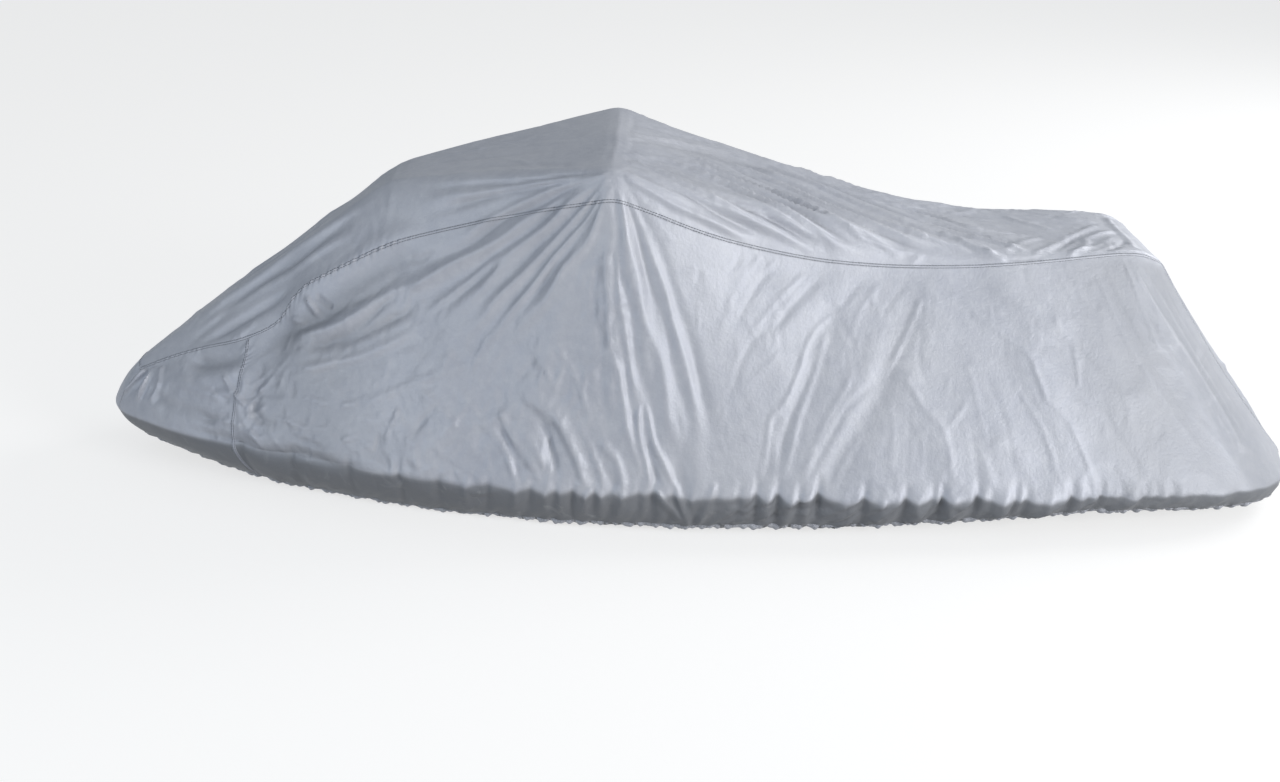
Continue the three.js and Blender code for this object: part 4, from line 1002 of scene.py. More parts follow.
def seam_roughness(station):
    """How much the long seam is puckered: most at the hood, least at the seat."""
    hood = smooth(-1010, -900, station) * (1 - smooth(-640, -480, station))
    nose = smooth(-1380, -1330, station) * (1 - smooth(-1200, -1080, station))
    fan = smooth(-520, -420, station) * (1 - smooth(-120, -60, station))
    aft = smooth(60, 120, station) * (1 - smooth(330, 460, station))
    return 0.05 + 0.85 * hood + 0.35 * nose + 0.14 * fan + 0.2 * aft


FOLD_ROWS = all_folds()


def cloth(patch, u, v, side):
    """The finished cloth: point in metres, normal, and the painted shading.
    The bare point is moved along its normal by the broad folds, the single
    folds, soft lumps, crumpled ridges, seam puckers and hem gathers.  The
    painted shading is painted shade in the fold troughs, on the forward side and
    most under the rim, darker towards the stern corner, and painted highlight on
    the crests and below the handlebar peak."""
    u, v = np.asarray(u, float).ravel(), np.asarray(v, float).ravel()
    place, normal = bare(patch, u, v, side)
    if patch == "side":
        girth, share = v, np.ones_like(v)
        if (u == REAR).any():
            _, other = bare("stern", (v - SEAM_G) / (HEM_G - SEAM_G), np.ones_like(v), side)
            edge = (u == REAR) & (v >= SEAM_G)
            normal[edge] = unit(normal[edge] + other[edge])
        if (u == NOSE).any():
            _, other = bare("side", BOW + (NOSE - BOW) * np.clip(v / SEAM_G, 0, 0.98),
                            np.full_like(v, SEAM_G), side)
            edge = (u == NOSE) & (v <= SEAM_G)
            normal[edge] = unit(normal[edge] + other[edge])
    else:
        girth, share = SEAM_G + (HEM_G - SEAM_G) * u, v**4
        _, other = bare("side", np.full_like(u, REAR), girth, side)
        edge = v == 1
        normal[edge] = unit(normal[edge] + other[edge])
    centre = (v == 0) if patch == "stern" else (v == 0) | ((u == BOW) & (v >= SEAM_G))
    normal[centre, 1] = 0
    normal = unit(normal)
    if patch == "side":
        tip = (u < NOSE) & (v <= SEAM_G)
        if tip.any():
            edge_place, edge_normal = bare("side", np.full(tip.sum(), NOSE),
                                           SEAM_G * (u[tip] - BOW) / (NOSE - BOW), side)
            place[tip], normal[tip] = edge_place, unit(edge_normal + normal[tip])
    broad = broad_relief(place, girth, side, share)
    fine, shift = fold_relief(place, normal, FOLD_ROWS)
    x, y, z = place.T
    along = x + 0.35 * y
    down = z * 1.1 + 0.4 * np.abs(y)
    calm = 1 - 0.55 * (smooth(-640, -560, x) * (1 - smooth(-60, 20, x)) * (1 - smooth(1.0, 1.3, girth)))
    crumple = 1.0 - np.abs(lattice(along, down, 62, 21))
    crumple += 0.5 * (1.0 - np.abs(lattice(along + 0.5 * down, down - 0.3 * along, 33, 22)))
    lumps = 1.7 * lattice(along, down, 120, 23) + 0.6 * lattice(along, down, 55, 24)
    gather_run = x + y * 0.6
    gather = np.sin(gather_run / 8.0 + 2.2 * lattice(gather_run, 0 * x, 90, 25))
    gather += 0.7 * np.sin(gather_run / 5.1 + 2.0 * lattice(gather_run, 0 * x, 70, 26))
    gather *= 1.5 * smooth(4.75, 5.15, girth)
    crisp = 0.55 + 0.7 * (1 - smooth(-60, 120, x)) * smooth(1.3, 1.7, girth)
    height = broad + fine + calm * (lumps + crisp * (crumple - 0.9)) + gather
    if patch == "side":
        height -= pinch_groove(u, girth, side)
        below = SEAM[:, 0].min() <= u
        seam_gap = np.linalg.norm(
            hull(np.maximum(u, NOSE), np.full_like(u, SEAM_G)) * [1, side, 1] - place, axis=1)
        pucker = seam_pucker(seam_gap * np.sign(girth - SEAM_G + 1e-9), u, seam_roughness(u))
        height += pucker * below * (seam_gap < 90)
        upright_gap = np.abs(u - UPRIGHT) * (girth > SEAM_G)
        upright = seam_pucker(u - UPRIGHT, girth * 120, 0.1 + 0.6 * (1 - smooth(1.95, 2.15, girth)))
        height += upright * (upright_gap < 60) * (girth > SEAM_G)
    # Painted shading: fore is painted shade on the forward side about x -830, aft makes the side darker
    # towards the stern corner, and middle is painted highlight on the side below the handlebar peak.
    fore = np.exp(-(((x + 830) / 200) ** 2)) * smooth(1.4, 1.9, girth)
    aft = smooth(1120, 1380, x) * smooth(1.3, 1.6, girth)
    middle = np.exp(-(((x + 230) / 270) ** 2)) * smooth(1.45, 1.75, girth) * (1 - smooth(3.6, 4.3, girth))
    # Above 0 is painted shade and below 0 painted highlight: fold troughs are painted darker and crests
    # paler.
    hollow = np.clip(-(broad + fine) / 12, -0.8, 1) + 0.9 * fore + 1.3 * aft - 1.0 * middle
    # Painted shade under the rim, over the tuck, strongest of all.
    hollow = np.maximum(hollow, 2.9 * smooth(4.47, 4.56, girth))
    return (place + normal * height[:, None] + shift) * MM, normal, hollow


# ---- meshes --------------------------------------------------------------------


def new_piece(name, points, faces, material, uv=None, hollow=None):
    """A smooth-shaded mesh object at the origin, from arrays."""
    mesh = bpy.data.meshes.new(name)
    mesh.from_pydata(points.tolist(), [], faces.tolist() if hasattr(faces, "tolist") else faces)
    mesh.shade_smooth()
    if uv is not None:
        layer = mesh.uv_layers.new(name="cloth")
        corners = np.zeros(len(mesh.loops), np.int32)
        mesh.loops.foreach_get("vertex_index", corners)
        layer.data.foreach_set("uv", uv[corners].astype(np.float32).ravel())
    if hollow is not None:
        marks = mesh.attributes.new("hollow", "FLOAT", "POINT")
        marks.data.foreach_set("value", hollow.astype(np.float32))
    for one in material if isinstance(material, (list, tuple)) else [material]:
        mesh.materials.append(one)
    mesh.update()
    piece = bpy.data.objects.new(name, mesh)
    bpy.context.scene.collection.objects.link(piece)
    return piece


def grid_faces(rows, columns):
    """Quads of a grid of points laid row by row."""
    i, j = np.meshgrid(np.arange(rows - 1), np.arange(columns - 1), indexing="ij")
    a = (i * columns + j).ravel()
    return np.stack([a, a + columns, a + columns + 1, a + 1], 1)


def even_steps(low, high, line, spacing):
    """Values from low to high whose points on the line are evenly spaced.
    spacing is millimetres, or rows of (value, spacing)."""
    fine = np.linspace(low, high, 1500)
    points = line(fine)
    run = np.concatenate([[0], np.cumsum(np.linalg.norm(np.diff(points, axis=0), axis=1))])
    if np.ndim(spacing):
        at, gaps = np.asarray(spacing, float).T
        middle = (fine[1:] + fine[:-1]) / 2
        run = np.concatenate([[0], np.cumsum(np.diff(run) / np.interp(middle, at, gaps))])
        spacing = 1.0
    count = max(int(round(run[-1] / spacing)), 2)
    values = np.interp(np.linspace(0, run[-1], count + 1), run, fine)
    values[0], values[-1] = low, high
    return values


def cloth_object(name, grid, hollow, material, thickness, flip=False):
    """Turns a grid of points into a solidified panel with its own UVs, which run
    in metres along the rows and the columns."""
    rows, columns = grid.shape[:2]
    faces = grid_faces(rows, columns)
    if flip:
        faces = faces[:, ::-1]
    u = np.concatenate([[0], np.cumsum(np.linalg.norm(np.diff(grid, axis=0), axis=2).mean(1))])
    v = np.concatenate([[0], np.cumsum(np.linalg.norm(np.diff(grid, axis=1), axis=2).mean(0))])
    uv = np.stack(np.meshgrid(u, v, indexing="ij"), -1).reshape(-1, 2)
    piece = new_piece(name, grid.reshape(-1, 3), faces, material, uv, hollow.ravel())
    thick = piece.modifiers.new("cloth thickness", "SOLIDIFY")
    thick.thickness = thickness
    thick.offset = -1
    thick.use_even_offset = False
    thick.material_offset = 1
    thick.material_offset_rim = 0
    return piece


def closed_strip(rings):
    """Faces of a closed tube, shut at both ends, whose rings are rows of a grid."""
    rows, columns = rings
    i, j = np.meshgrid(np.arange(rows - 1), np.arange(columns), indexing="ij")
    a, b = (i * columns + j).ravel(), (i * columns + (j + 1) % columns).ravel()
    faces = np.stack([a, a + columns, b + columns, b], 1).tolist()
    faces.append(list(range(columns)))
    faces.append([(rows - 1) * columns + k for k in range(columns - 1, -1, -1)])
    return faces


def tube_object(name, rings, material):
    """A closed tube through a grid of points, each row one ring, faces outward."""
    piece = new_piece(name, rings.reshape(-1, 3), closed_strip(rings.shape[:2]), material)
    work = bmesh.new()
    work.from_mesh(piece.data)
    bmesh.ops.recalc_face_normals(work, faces=work.faces)
    work.to_mesh(piece.data)
    work.free()
    piece.data.shade_smooth()
    return piece


def signed_columns(port, starboard):
    """Joins the port half, laid centre outward, to the starboard half."""
    return np.concatenate([port[:, :0:-1], starboard], 1)


def cloth_grid(patch, u, v, side):
    """Points and painted shading of a patch on the grid of its own u and v values."""
    grid_u, grid_v = np.meshgrid(u, v, indexing="ij")
    place, _, hollow = cloth(patch, grid_u, grid_v, side)
    return place.reshape(len(u), len(v), 3), hollow.reshape(len(u), len(v))


def station_steps(low, high, coarse=1.0):
    """Stations for a grid, closer together where the folds are narrow."""
    spacing = [(-1390, 6), (-1020, 4.6), (-560, 4.8), (-460, 5.8), (-160, 5.4), (-80, 4.4),
               (230, 4.6), (320, 5.6), (1180, 5.8), (1300, 6), (1460, 6)]
    rows = [(at, gap * coarse) for at, gap in spacing]
    return even_steps(low, high, lambda s: hull(s, np.full_like(s, 3.4)), rows)


def girth_steps(low, high, station, coarse):
    """Girths for a grid, closer together by the seam and the rim."""
    rows = [(1.35, 6.5), (2.2, 7.2), (2.7, 9.6), (4.2, 9.6), (4.35, 6.5), (4.7, 7), (5.2, 8)]
    rows = [(at, gap * coarse) for at, gap in rows]
    steps = even_steps(low, high, lambda g: hull(np.full_like(g, station), g), rows)
    first = steps[1] - steps[0]
    return np.unique(np.concatenate([steps, low + first * np.array([0.3, 0.6])]))


def side_panel(name, side, coarse, materials, thickness):
    """Side panel from the upright seam to the stern seam."""
    stations = station_steps(UPRIGHT, REAR, coarse)
    girths = girth_steps(SEAM_G, HEM_G, 300.0, coarse)
    grid, hollow = cloth_grid("side", stations, girths, side)
    return cloth_object(name, grid, hollow, materials, thickness, flip=side < 0)


def top_panel(name, materials, thickness):
    """Top panel from the nose over the seat and down the stern."""
    across = np.concatenate([np.linspace(0, 0.70, 25), np.linspace(0.70, 0.97, 15)[1:], [0.985, 1.0]])
    stations = station_steps(NOSE, REAR, 1.5)
    down = even_steps(0, 1, lambda d: stern_strip(d, np.full_like(d, 0.5)), 8.0)
    blocks, marks = [], []
    for patch, u, v in (("side", stations, across * SEAM_G), ("stern", down, across)):
        halves = [cloth_grid(patch, u, v, side) for side in (-1, 1)]
        blocks.append(signed_columns(halves[0][0], halves[1][0]))
        marks.append(signed_columns(halves[0][1], halves[1][1]))
    grid = np.concatenate([blocks[0], blocks[1][1:]], 0)
    hollow = np.concatenate([marks[0], marks[1][1:]], 0)
    return cloth_object(name, grid, hollow, materials, thickness)


def bow_panel(name, materials, thickness):
    """Bow panel, round the bow from one upright seam to the other."""
    def line(s):
        return cover_side(s, np.full_like(s, 3.6))

    before = even_steps(BOW, NOSE, line, 5.0)
    behind = even_steps(NOSE, UPRIGHT, line, 5.5)
    girths = girth_steps(SEAM_G, HEM_G, UPRIGHT, 0.72)
    halves = []
    for side in (-1, 1):
        parts = [cloth_grid("side", before, girths, side), cloth_grid("side", behind, girths, side)]
        halves.append([np.concatenate([parts[0][k], parts[1][k][1:]], 0) for k in (0, 1)])
    grid = np.concatenate([halves[0][0][:0:-1], halves[1][0]], 0)
    hollow = np.concatenate([halves[0][1][:0:-1], halves[1][1]], 0)
    return cloth_object(name, grid, hollow, materials, thickness)


# ---- seams, stitches and hems --------------------------------------------------


def per_unit(patch, u, v, du, dv, side):
    """Millimetres of cloth per unit of du or dv at each point."""
    here, _ = bare(patch, u, v, side)
    there, _ = bare(patch, u + du, v + dv, side)
    return np.linalg.norm(there - here, axis=1) / (np.abs(du) + np.abs(dv))


def beside_long_seam(t, d, side):
    """Cloth at distances d (mm) below the long seam, or above it below 0."""
    at = np.full_like(t, SEAM_G)
    v = at + d / per_unit("side", t, at, 0, np.where(d < 0, -0.06, 0.06), side)
    return cloth("side", np.clip(t, NOSE, REAR - 0.01), v, side)


def beside_upright_seam(t, d, side):
    """Cloth at distances d aft of the upright seam, t the girth."""
    at = np.full_like(t, UPRIGHT)
    return cloth("side", at + d / per_unit("side", at, t, np.where(d < 0, -4.0, 4.0), 0, side), t, side)


def beside_stern_seam(t, d, side):
    """Cloth at distances d forward of the stern seam, t the girth; below 0 it
    is on the stern strip."""
    on_side, out = d >= 0, [np.zeros((len(t), 3)), np.zeros((len(t), 3)), np.zeros(len(t))]
    rear = np.full(on_side.sum(), REAR)
    u = rear - d[on_side] / per_unit("side", rear, t[on_side], -1.0, 0, side)
    first = cloth("side", u, t[on_side], side)
    down = (t[~on_side] - SEAM_G) / (HEM_G - SEAM_G)
    v = 1 + d[~on_side] / per_unit("stern", down, np.ones_like(down), 0, -0.04, side)
    for part, a, b in zip(out, first, cloth("stern", down, v, side)):
        part[on_side], part[~on_side] = a, b
    return out


def beside_nose_seam(t, d, side):
    """Cloth at distances d below the nose seam, t the share out to one side."""
    u, at = BOW + (NOSE - BOW) * t, np.full_like(t, SEAM_G)
    below = at + np.maximum(d, 0) / per_unit("side", u, at, 0, 0.06, side)
    nose = np.full_like(t, NOSE)
    above = nose - np.minimum(d, 0) / per_unit("side", nose, SEAM_G * t, 4.0, 0, side)
    return cloth("side", np.where(d < 0, above, np.minimum(u, NOSE - 0.01)),
                 np.where(d < 0, SEAM_G * t, below), side)


def rows_beside(beside, t, distances, side):
    """Points and normals at every distance, as arrays of t by distance."""
    grid_t, grid_d = np.meshgrid(t, np.asarray(distances, float), indexing="ij")
    place, normal, _ = beside(grid_t.ravel(), grid_d.ravel(), side)
    return place.reshape(*grid_t.shape, 3), normal.reshape(*grid_t.shape, 3)


def evenly(points, values, spacing):
    """Values at which the points of a path are evenly spaced, in metres."""
    run = np.concatenate([[0], np.cumsum(np.linalg.norm(np.diff(points, axis=0), axis=1))])
    count = max(int(run[-1] / spacing), 2)
    return np.interp(np.linspace(0, run[-1], count + 1), run, values)


BAND = [(-5.9, -0.9), (-5.4, 0.4), (-4.3, 0.8), (-3.3, -0.4), (-2.2, 0.8), (0.0, 1.0),
        (2.2, 0.8), (3.3, -0.4), (4.3, 0.8), (5.4, 0.4), (5.9, -0.9)]


def seam_band(name, beside, low, high, side, materials, pitch):
    """A raised flat-felled band over a seam, with a row of stitches near each
    edge.  Its profile is BAND: distance from the seam and lift off the cloth."""
    rough = np.linspace(low, high, 500)
    t = evenly(rows_beside(beside, rough, [0.0], side)[0][:, 0], rough, 0.0032)
    distance, lift = np.array(BAND).T
    place, normal = rows_beside(beside, t, distance, side)
    band = tube_object(name, place + normal * (lift * MM)[:, None], materials["cloth"])
    rows = [(place[:, k] + normal[:, k] * MM, normal[:, k]) for k in (3, 7)]
    return band, stitches(name + "_stitches", rows, pitch, materials["thread"])


def stitches(name, rows, pitch, material):
    """Stitches along rows of (points, normals): each a short arched thread of
    three square rings, its ends drawn into the cloth."""
    centres = []
    for place, normal in rows:
        run = np.concatenate([[0], np.cumsum(np.linalg.norm(np.diff(place, axis=0), axis=1))])
        start = np.arange(0.004, run[-1] - pitch, pitch)
        for k, (share, depth) in enumerate(((0.0, -0.5), (0.34, 0.4), (0.68, -0.5))):
            at = start + share * pitch
            here = np.stack([np.interp(at, run, place[:, c]) for c in range(3)], 1)
            up = unit(np.stack([np.interp(at, run, normal[:, c]) for c in range(3)], 1))
            centres.append((k, here + up * (depth * MM), up))
    points = []
    for k in range(0, len(centres), 3):
        trio = centres[k : k + 3]
        ahead = unit(trio[2][1] - trio[0][1])
        rings = []
        for _, here, up in trio:
            across = unit(np.cross(up, ahead))
            wide, high = 0.65 * MM, 0.4 * MM
            rings.append(np.stack([here + across * wide, here + up * high,
                                   here - across * wide, here - up * high], 1))
        points.append(np.stack(rings, 1))
    points = np.concatenate(points, 0)
    one = np.array([(4 * r + c, 4 * r + (c + 1) % 4, 4 * r + 4 + (c + 1) % 4, 4 * r + 4 + c)
                    for r in range(2) for c in range(4)]
                   + [(3, 2, 1, 0), (8, 9, 10, 11)])
    faces = (one[None] + 12 * np.arange(len(points))[:, None, None]).reshape(-1, 4)
    return new_piece(name, points.reshape(-1, 3), faces, material)


def beside_hem(t, d, side):
    """Cloth at distances d above the hem of the side or bow, t the station."""
    hem = np.full_like(t, HEM_G)
    return cloth("side", t, hem - d / per_unit("side", t, hem, 0, -0.05, side), side)


def beside_stern_hem(t, d, side):
    """Cloth at distances d above the hem of the stern, t the share across."""
    hem = np.ones_like(t)
    return cloth("stern", hem - d / per_unit("stern", hem, t, -0.02, 0, side), t, side)


# profile of the hem casing: distance up from the hem, lift off the cloth, and
# how far the gathers move it
CASING = [(22, -0.6, 0.2), (20, 0.9, 0.6), (16, 1.8, 1.6), (10, 2.4, 2.2), (4, 2.0, 2.2), (0, 1.0, 2.0),
          (-2, -0.4, 1.6), (0, -2.0, 1.6), (7, -2.8, 1.6), (14, -2.6, 0.9), (21, -1.6, 0.2)]


def hem_casing(name, pieces, materials, pitch):
    """Gathered casing round the elastic: a flattened tube along the hem, with
    uneven close pleats.  pieces are (beside, values along the hem, side)."""
    distance, lift, move = np.array(CASING, float).T
    rings, stitch_rows = [], []
    for beside, values, side in pieces:
        t = evenly(rows_beside(beside, values, [0.0], side)[0][:, 0], values, 0.0034)
        place, normal = rows_beside(beside, t, np.append(np.maximum(distance, 0), 20.5), side)
        place, stitched, normal, facing = place[:, :-1], place[:, -1], normal[:, :-1], normal[:, -1]
        foot = place[:, 5]
        rise = unit(place[:, 3] - foot)
        run = np.concatenate([[0], np.cumsum(np.linalg.norm(np.diff(foot, axis=0), axis=1))]) / MM
        wave = np.sin(run / 3.4 + 2.4 * lattice(run, 0 * run, 42, 31))
        wave += (0.9 * np.sin(run / 6.1 + 2 * lattice(run, 0 * run, 70, 32))
                 + 1.4 * lattice(run, 0 * run, 23, 33))
        swell = lift + move * np.where(lift > 0, 0.8, 0.5) * wave[:, None]
        drop = np.where(distance <= 0, distance - 0.9 * wave[:, None], 0)
        rings.append(place + (normal * swell[..., None] + rise[:, None] * drop[..., None]) * MM)
        stitch_rows.append((stitched + facing * (1.5 * MM), facing))
    rings = [rings[0]] + [part[1:] for part in rings[1:]]
    casing = tube_object(name, np.concatenate(rings, 0), materials["cloth"])
    return casing, stitches(name + "_stitches", stitch_rows, pitch, materials["thread"])


# ---- materials -----------------------------------------------------------------


class Nodes:
    """A material's node tree, with short calls to add and link nodes."""

    def __init__(self, name):
        self.material = bpy.data.materials.new(name)
        self.material.use_nodes = True
        self.tree = self.material.node_tree
        self.tree.nodes.clear()

    def add(self, kind, settings=None, **inputs):
        """Adds a node; a value that is a socket is linked, any other is set."""
        node = self.tree.nodes.new("ShaderNode" + kind)
        for key, value in (settings or {}).items():
            setattr(node, key, value)
        for key, value in inputs.items():
            name = key.replace("_", " ")
            socket = (node.inputs[int(key[2:])] if key.startswith("in") and key[2:].isdigit()
                      else node.inputs[name])
            if isinstance(value, bpy.types.NodeSocket):
                self.tree.links.new(value, socket)
            else:
                socket.default_value = value
        return node

    def maths(self, operation, a, b=0.0, c=0.0):
        """One maths operation's result."""
        return self.add("Math", {"operation": operation}, in0=a, in1=b, in2=c).outputs[0]

    def blend(self, share, a, b, kind="MIX"):
        """A colour mixed from a to b."""
        node = self.add("Mix", {"data_type": "RGBA", "blend_type": kind})
        for index, value in ((0, share), (6, a), (7, b)):
            if isinstance(value, bpy.types.NodeSocket):
                self.tree.links.new(value, node.inputs[index])
            else:
                node.inputs[index].default_value = value
        return node.outputs[2]

    def ramp(self, value, *stops):
        """A grey ramp through (position, brightness) stops."""
        node = self.add("ValToRGB", None, Fac=value)
        elements = node.color_ramp.elements
        while len(elements) < len(stops):
            elements.new(0.5)
        for element, (position, level) in zip(elements, stops):
            element.position = position
            element.color = (level, level, level, 1)
        return node.outputs["Color"]


def linear(colour, alpha=1.0):
    """A display colour's linear values."""
    return tuple(v / 12.92 if v <= 0.04045 else ((v + 0.055) / 1.055) ** 2.4 for v in colour) + (alpha,)


def silver_cloth(colours):
    """Silver coated polyester: a soft metal sheen that varies, packing creases,
    small crinkles, a plain weave, and painted shade and painted highlight from the
    shading attribute: shade in the hollows and under the rim, highlight on the crests."""
    n = Nodes("silver coated polyester")
    place = n.add("TexCoord").outputs["Object"]
    flat = n.add("UVMap", {"uv_map": "cloth"}).outputs["UV"]
    hollow = n.add("Attribute", {"attribute_name": "hollow"}).outputs["Fac"]
    broad = n.add("TexNoise", None, Vector=place, Scale=2.6, Detail=5.0, Roughness=0.55).outputs["Fac"]
    mottle = n.add("TexNoise", None, Vector=place, Scale=38.0, Detail=6.0, Roughness=0.7).outputs["Fac"]
    streak = n.add("TexNoise", None, Vector=place, Scale=9.0, Detail=4.0, Roughness=0.6,
                   Distortion=1.4).outputs["Fac"]
    base = n.blend(n.ramp(broad, (0.34, 0.0), (0.68, 1.0)),
                   linear(colours.silver), linear(colours.silver_deep))
    base = n.blend(n.maths("MULTIPLY", n.ramp(mottle, (0.4, 0.0), (0.72, 1.0)), 0.30),
                   base, linear(colours.silver_pale))
    # Painted shade: where the shading attribute is above 0 the base is blended towards the grey of painted
    # shade.
    painted_shade = n.maths("MULTIPLY", n.maths("MAXIMUM", hollow, 0.0), 0.30)
    base = n.blend(painted_shade, base, linear(colours.painted_shade))
    # Painted highlight: where the shading attribute is below 0, on fold crests and below the handlebar peak,
    # the base is blended towards pale silver.
    base = n.blend(n.maths("MULTIPLY", n.maths("MAXIMUM", n.maths("MULTIPLY", hollow, -1.0), 0.0), 0.7),
                   base, linear(colours.silver_pale))
    worn = n.maths("MULTIPLY", n.ramp(streak, (0.60, 0.0), (0.74, 1.0)), 0.22)
    base = n.blend(worn, base, linear(colours.silver_pale))
    roughness = n.maths("MULTIPLY_ADD", mottle, 0.16, 0.44)
    creases = n.add("TexNoise", {"noise_type": "RIDGED_MULTIFRACTAL"}, Vector=place, Scale=11.0, Detail=6.0,
                    Roughness=0.55, Lacunarity=2.1).outputs["Fac"]
    crinkle = n.add("TexVoronoi", {"feature": "DISTANCE_TO_EDGE"}, Vector=place, Scale=46.0,
                    Randomness=1.0).outputs["Distance"]
    patches = n.ramp(n.add("TexNoise", None, Vector=place, Scale=4.5, Detail=3.0).outputs["Fac"],
                     (0.42, 0.12), (0.66, 1.0))
    crinkle = n.maths("MULTIPLY", n.maths("MINIMUM", crinkle, 0.22), patches)
    creases = n.maths("MULTIPLY", creases, patches)
    fine = n.add("TexNoise", None, Vector=place, Scale=120.0, Detail=4.0, Roughness=0.62).outputs["Fac"]
    warp = n.add("TexWave", {"wave_type": "BANDS", "bands_direction": "X"}, Vector=flat,
                 Scale=190.0, Distortion=0.4, Detail=1.0).outputs["Fac"]
    weft = n.add("TexWave", {"wave_type": "BANDS", "bands_direction": "Y"}, Vector=flat,
                 Scale=190.0, Distortion=0.4, Detail=1.0).outputs["Fac"]
    weave = n.maths("MAXIMUM", warp, weft)
    normal = n.add("Bump", None, Strength=1.0, Distance=0.0055, Height=creases).outputs["Normal"]
    normal = n.add("Bump", None, Strength=0.5, Distance=0.0014, Height=crinkle,
                   Normal=normal).outputs["Normal"]
    normal = n.add("Bump", None, Strength=0.8, Distance=0.0012, Height=fine, Normal=normal).outputs["Normal"]
    normal = n.add("Bump", None, Strength=0.5, Distance=0.00007, Height=weave,
                   Normal=normal).outputs["Normal"]
    shader = n.add("BsdfPrincipled", None, Base_Color=base, Metallic=0.22, Roughness=roughness, Normal=normal)
    shader.inputs["Sheen Weight"].default_value = 0.05
    shader.inputs["Specular IOR Level"].default_value = 0.2
    shader.inputs["Sheen Roughness"].default_value = 0.4
    n.add("OutputMaterial", None, Surface=shader.outputs[0])
    return n.material


def inner_cloth(colours):
    """Uncoated inner face: matt grey polyester with a plain weave."""
    n = Nodes("uncoated polyester")
    place = n.add("TexCoord").outputs["Object"]
    broad = n.add("TexNoise", None, Vector=place, Scale=6.0, Detail=4.0, Roughness=0.6).outputs["Fac"]
    base = n.blend(broad, linear(colours.inner), linear(tuple(v * 0.9 for v in colours.inner)))
    weave = n.add("TexChecker", None, Vector=place, Scale=900.0).outputs["Fac"]
    normal = n.add("Bump", None, Strength=0.4, Distance=0.0001, Height=weave).outputs["Normal"]
    shader = n.add("BsdfPrincipled", None, Base_Color=base, Roughness=0.8, Normal=normal)
    n.add("OutputMaterial", None, Surface=shader.outputs[0])
    return n.material


def thread(colours):
    """Twisted polyester thread, a little darker than the cloth."""
    n = Nodes("twisted thread")
    place = n.add("TexCoord").outputs["Object"]
    twist = n.add("TexWave", {"bands_direction": "DIAGONAL"}, Vector=place, Scale=500.0,
                  Distortion=1.0).outputs["Fac"]
    tone = n.add("TexNoise", None, Vector=place, Scale=60.0, Detail=3.0).outputs["Fac"]
    base = n.blend(tone, linear(colours.thread), linear(tuple(v * 0.82 for v in colours.thread)))
    normal = n.add("Bump", None, Strength=0.5, Distance=0.0002, Height=twist).outputs["Normal"]
    shader = n.add("BsdfPrincipled", None, Base_Color=base, Roughness=0.55, Normal=normal)
    n.add("OutputMaterial", None, Surface=shader.outputs[0])
    return n.material


def floor_finish(colours):
    """Pale matt studio floor."""
    n = Nodes("studio floor")
    place = n.add("TexCoord").outputs["Object"]
    tone = n.add("TexNoise", None, Vector=place, Scale=0.6, Detail=2.0).outputs["Fac"]
    pale = n.blend(tone, linear(colours.floor), linear(tuple(v * 0.99 for v in colours.floor)))
    path = n.add("LightPath").outputs
    seen = n.maths("MAXIMUM", path["Is Camera Ray"],
                   n.maths("MAXIMUM", path["Is Glossy Ray"], path["Is Transmission Ray"]))
    base = n.blend(seen, linear(tuple(v * 0.3 for v in colours.floor)), n.blend(0.58, pale, (0, 0, 0, 1)))
    shader = n.add("BsdfPrincipled", None, Base_Color=base, Roughness=0.9)
    lift = n.add("Emission", None, Color=linear(colours.floor), Strength=n.maths("MULTIPLY", seen, 0.82))
    both = n.tree.nodes.new("ShaderNodeAddShader")
    n.tree.links.new(shader.outputs[0], both.inputs[0])
    n.tree.links.new(lift.outputs[0], both.inputs[1])
    n.add("OutputMaterial", None, Surface=both.outputs[0])
    return n.material


def finishes():
    """The cover's materials, made once."""
    if not hasattr(finishes, "made"):
        colours = bpy.context.scene.cover_colours
        finishes.made = {"cloth": silver_cloth(colours), "inner": inner_cloth(colours),
                         "thread": thread(colours)}
    return finishes.made


# ---- sizes and colours ---------------------------------------------------------


class CoverSizes(bpy.types.PropertyGroup):
    """Sizes of the cloth and its sewing."""

    thickness: bpy.props.FloatProperty(
        name="Cloth thickness", description="Thickness of the coated cloth",
        default=0.0011, min=0.0004, max=0.003, subtype="DISTANCE", unit="LENGTH")
    grid: bpy.props.FloatProperty(
        name="Grid coarseness", description="Spacing of the side panels' points, 1 being about 6 by 8 mm",
        default=1.0, min=0.9, max=6.0, subtype="FACTOR")
    stitch: bpy.props.FloatProperty(
        name="Stitch pitch", description="From one stitch to the next",
        default=0.0078, min=0.003, max=0.03, subtype="DISTANCE", unit="LENGTH")


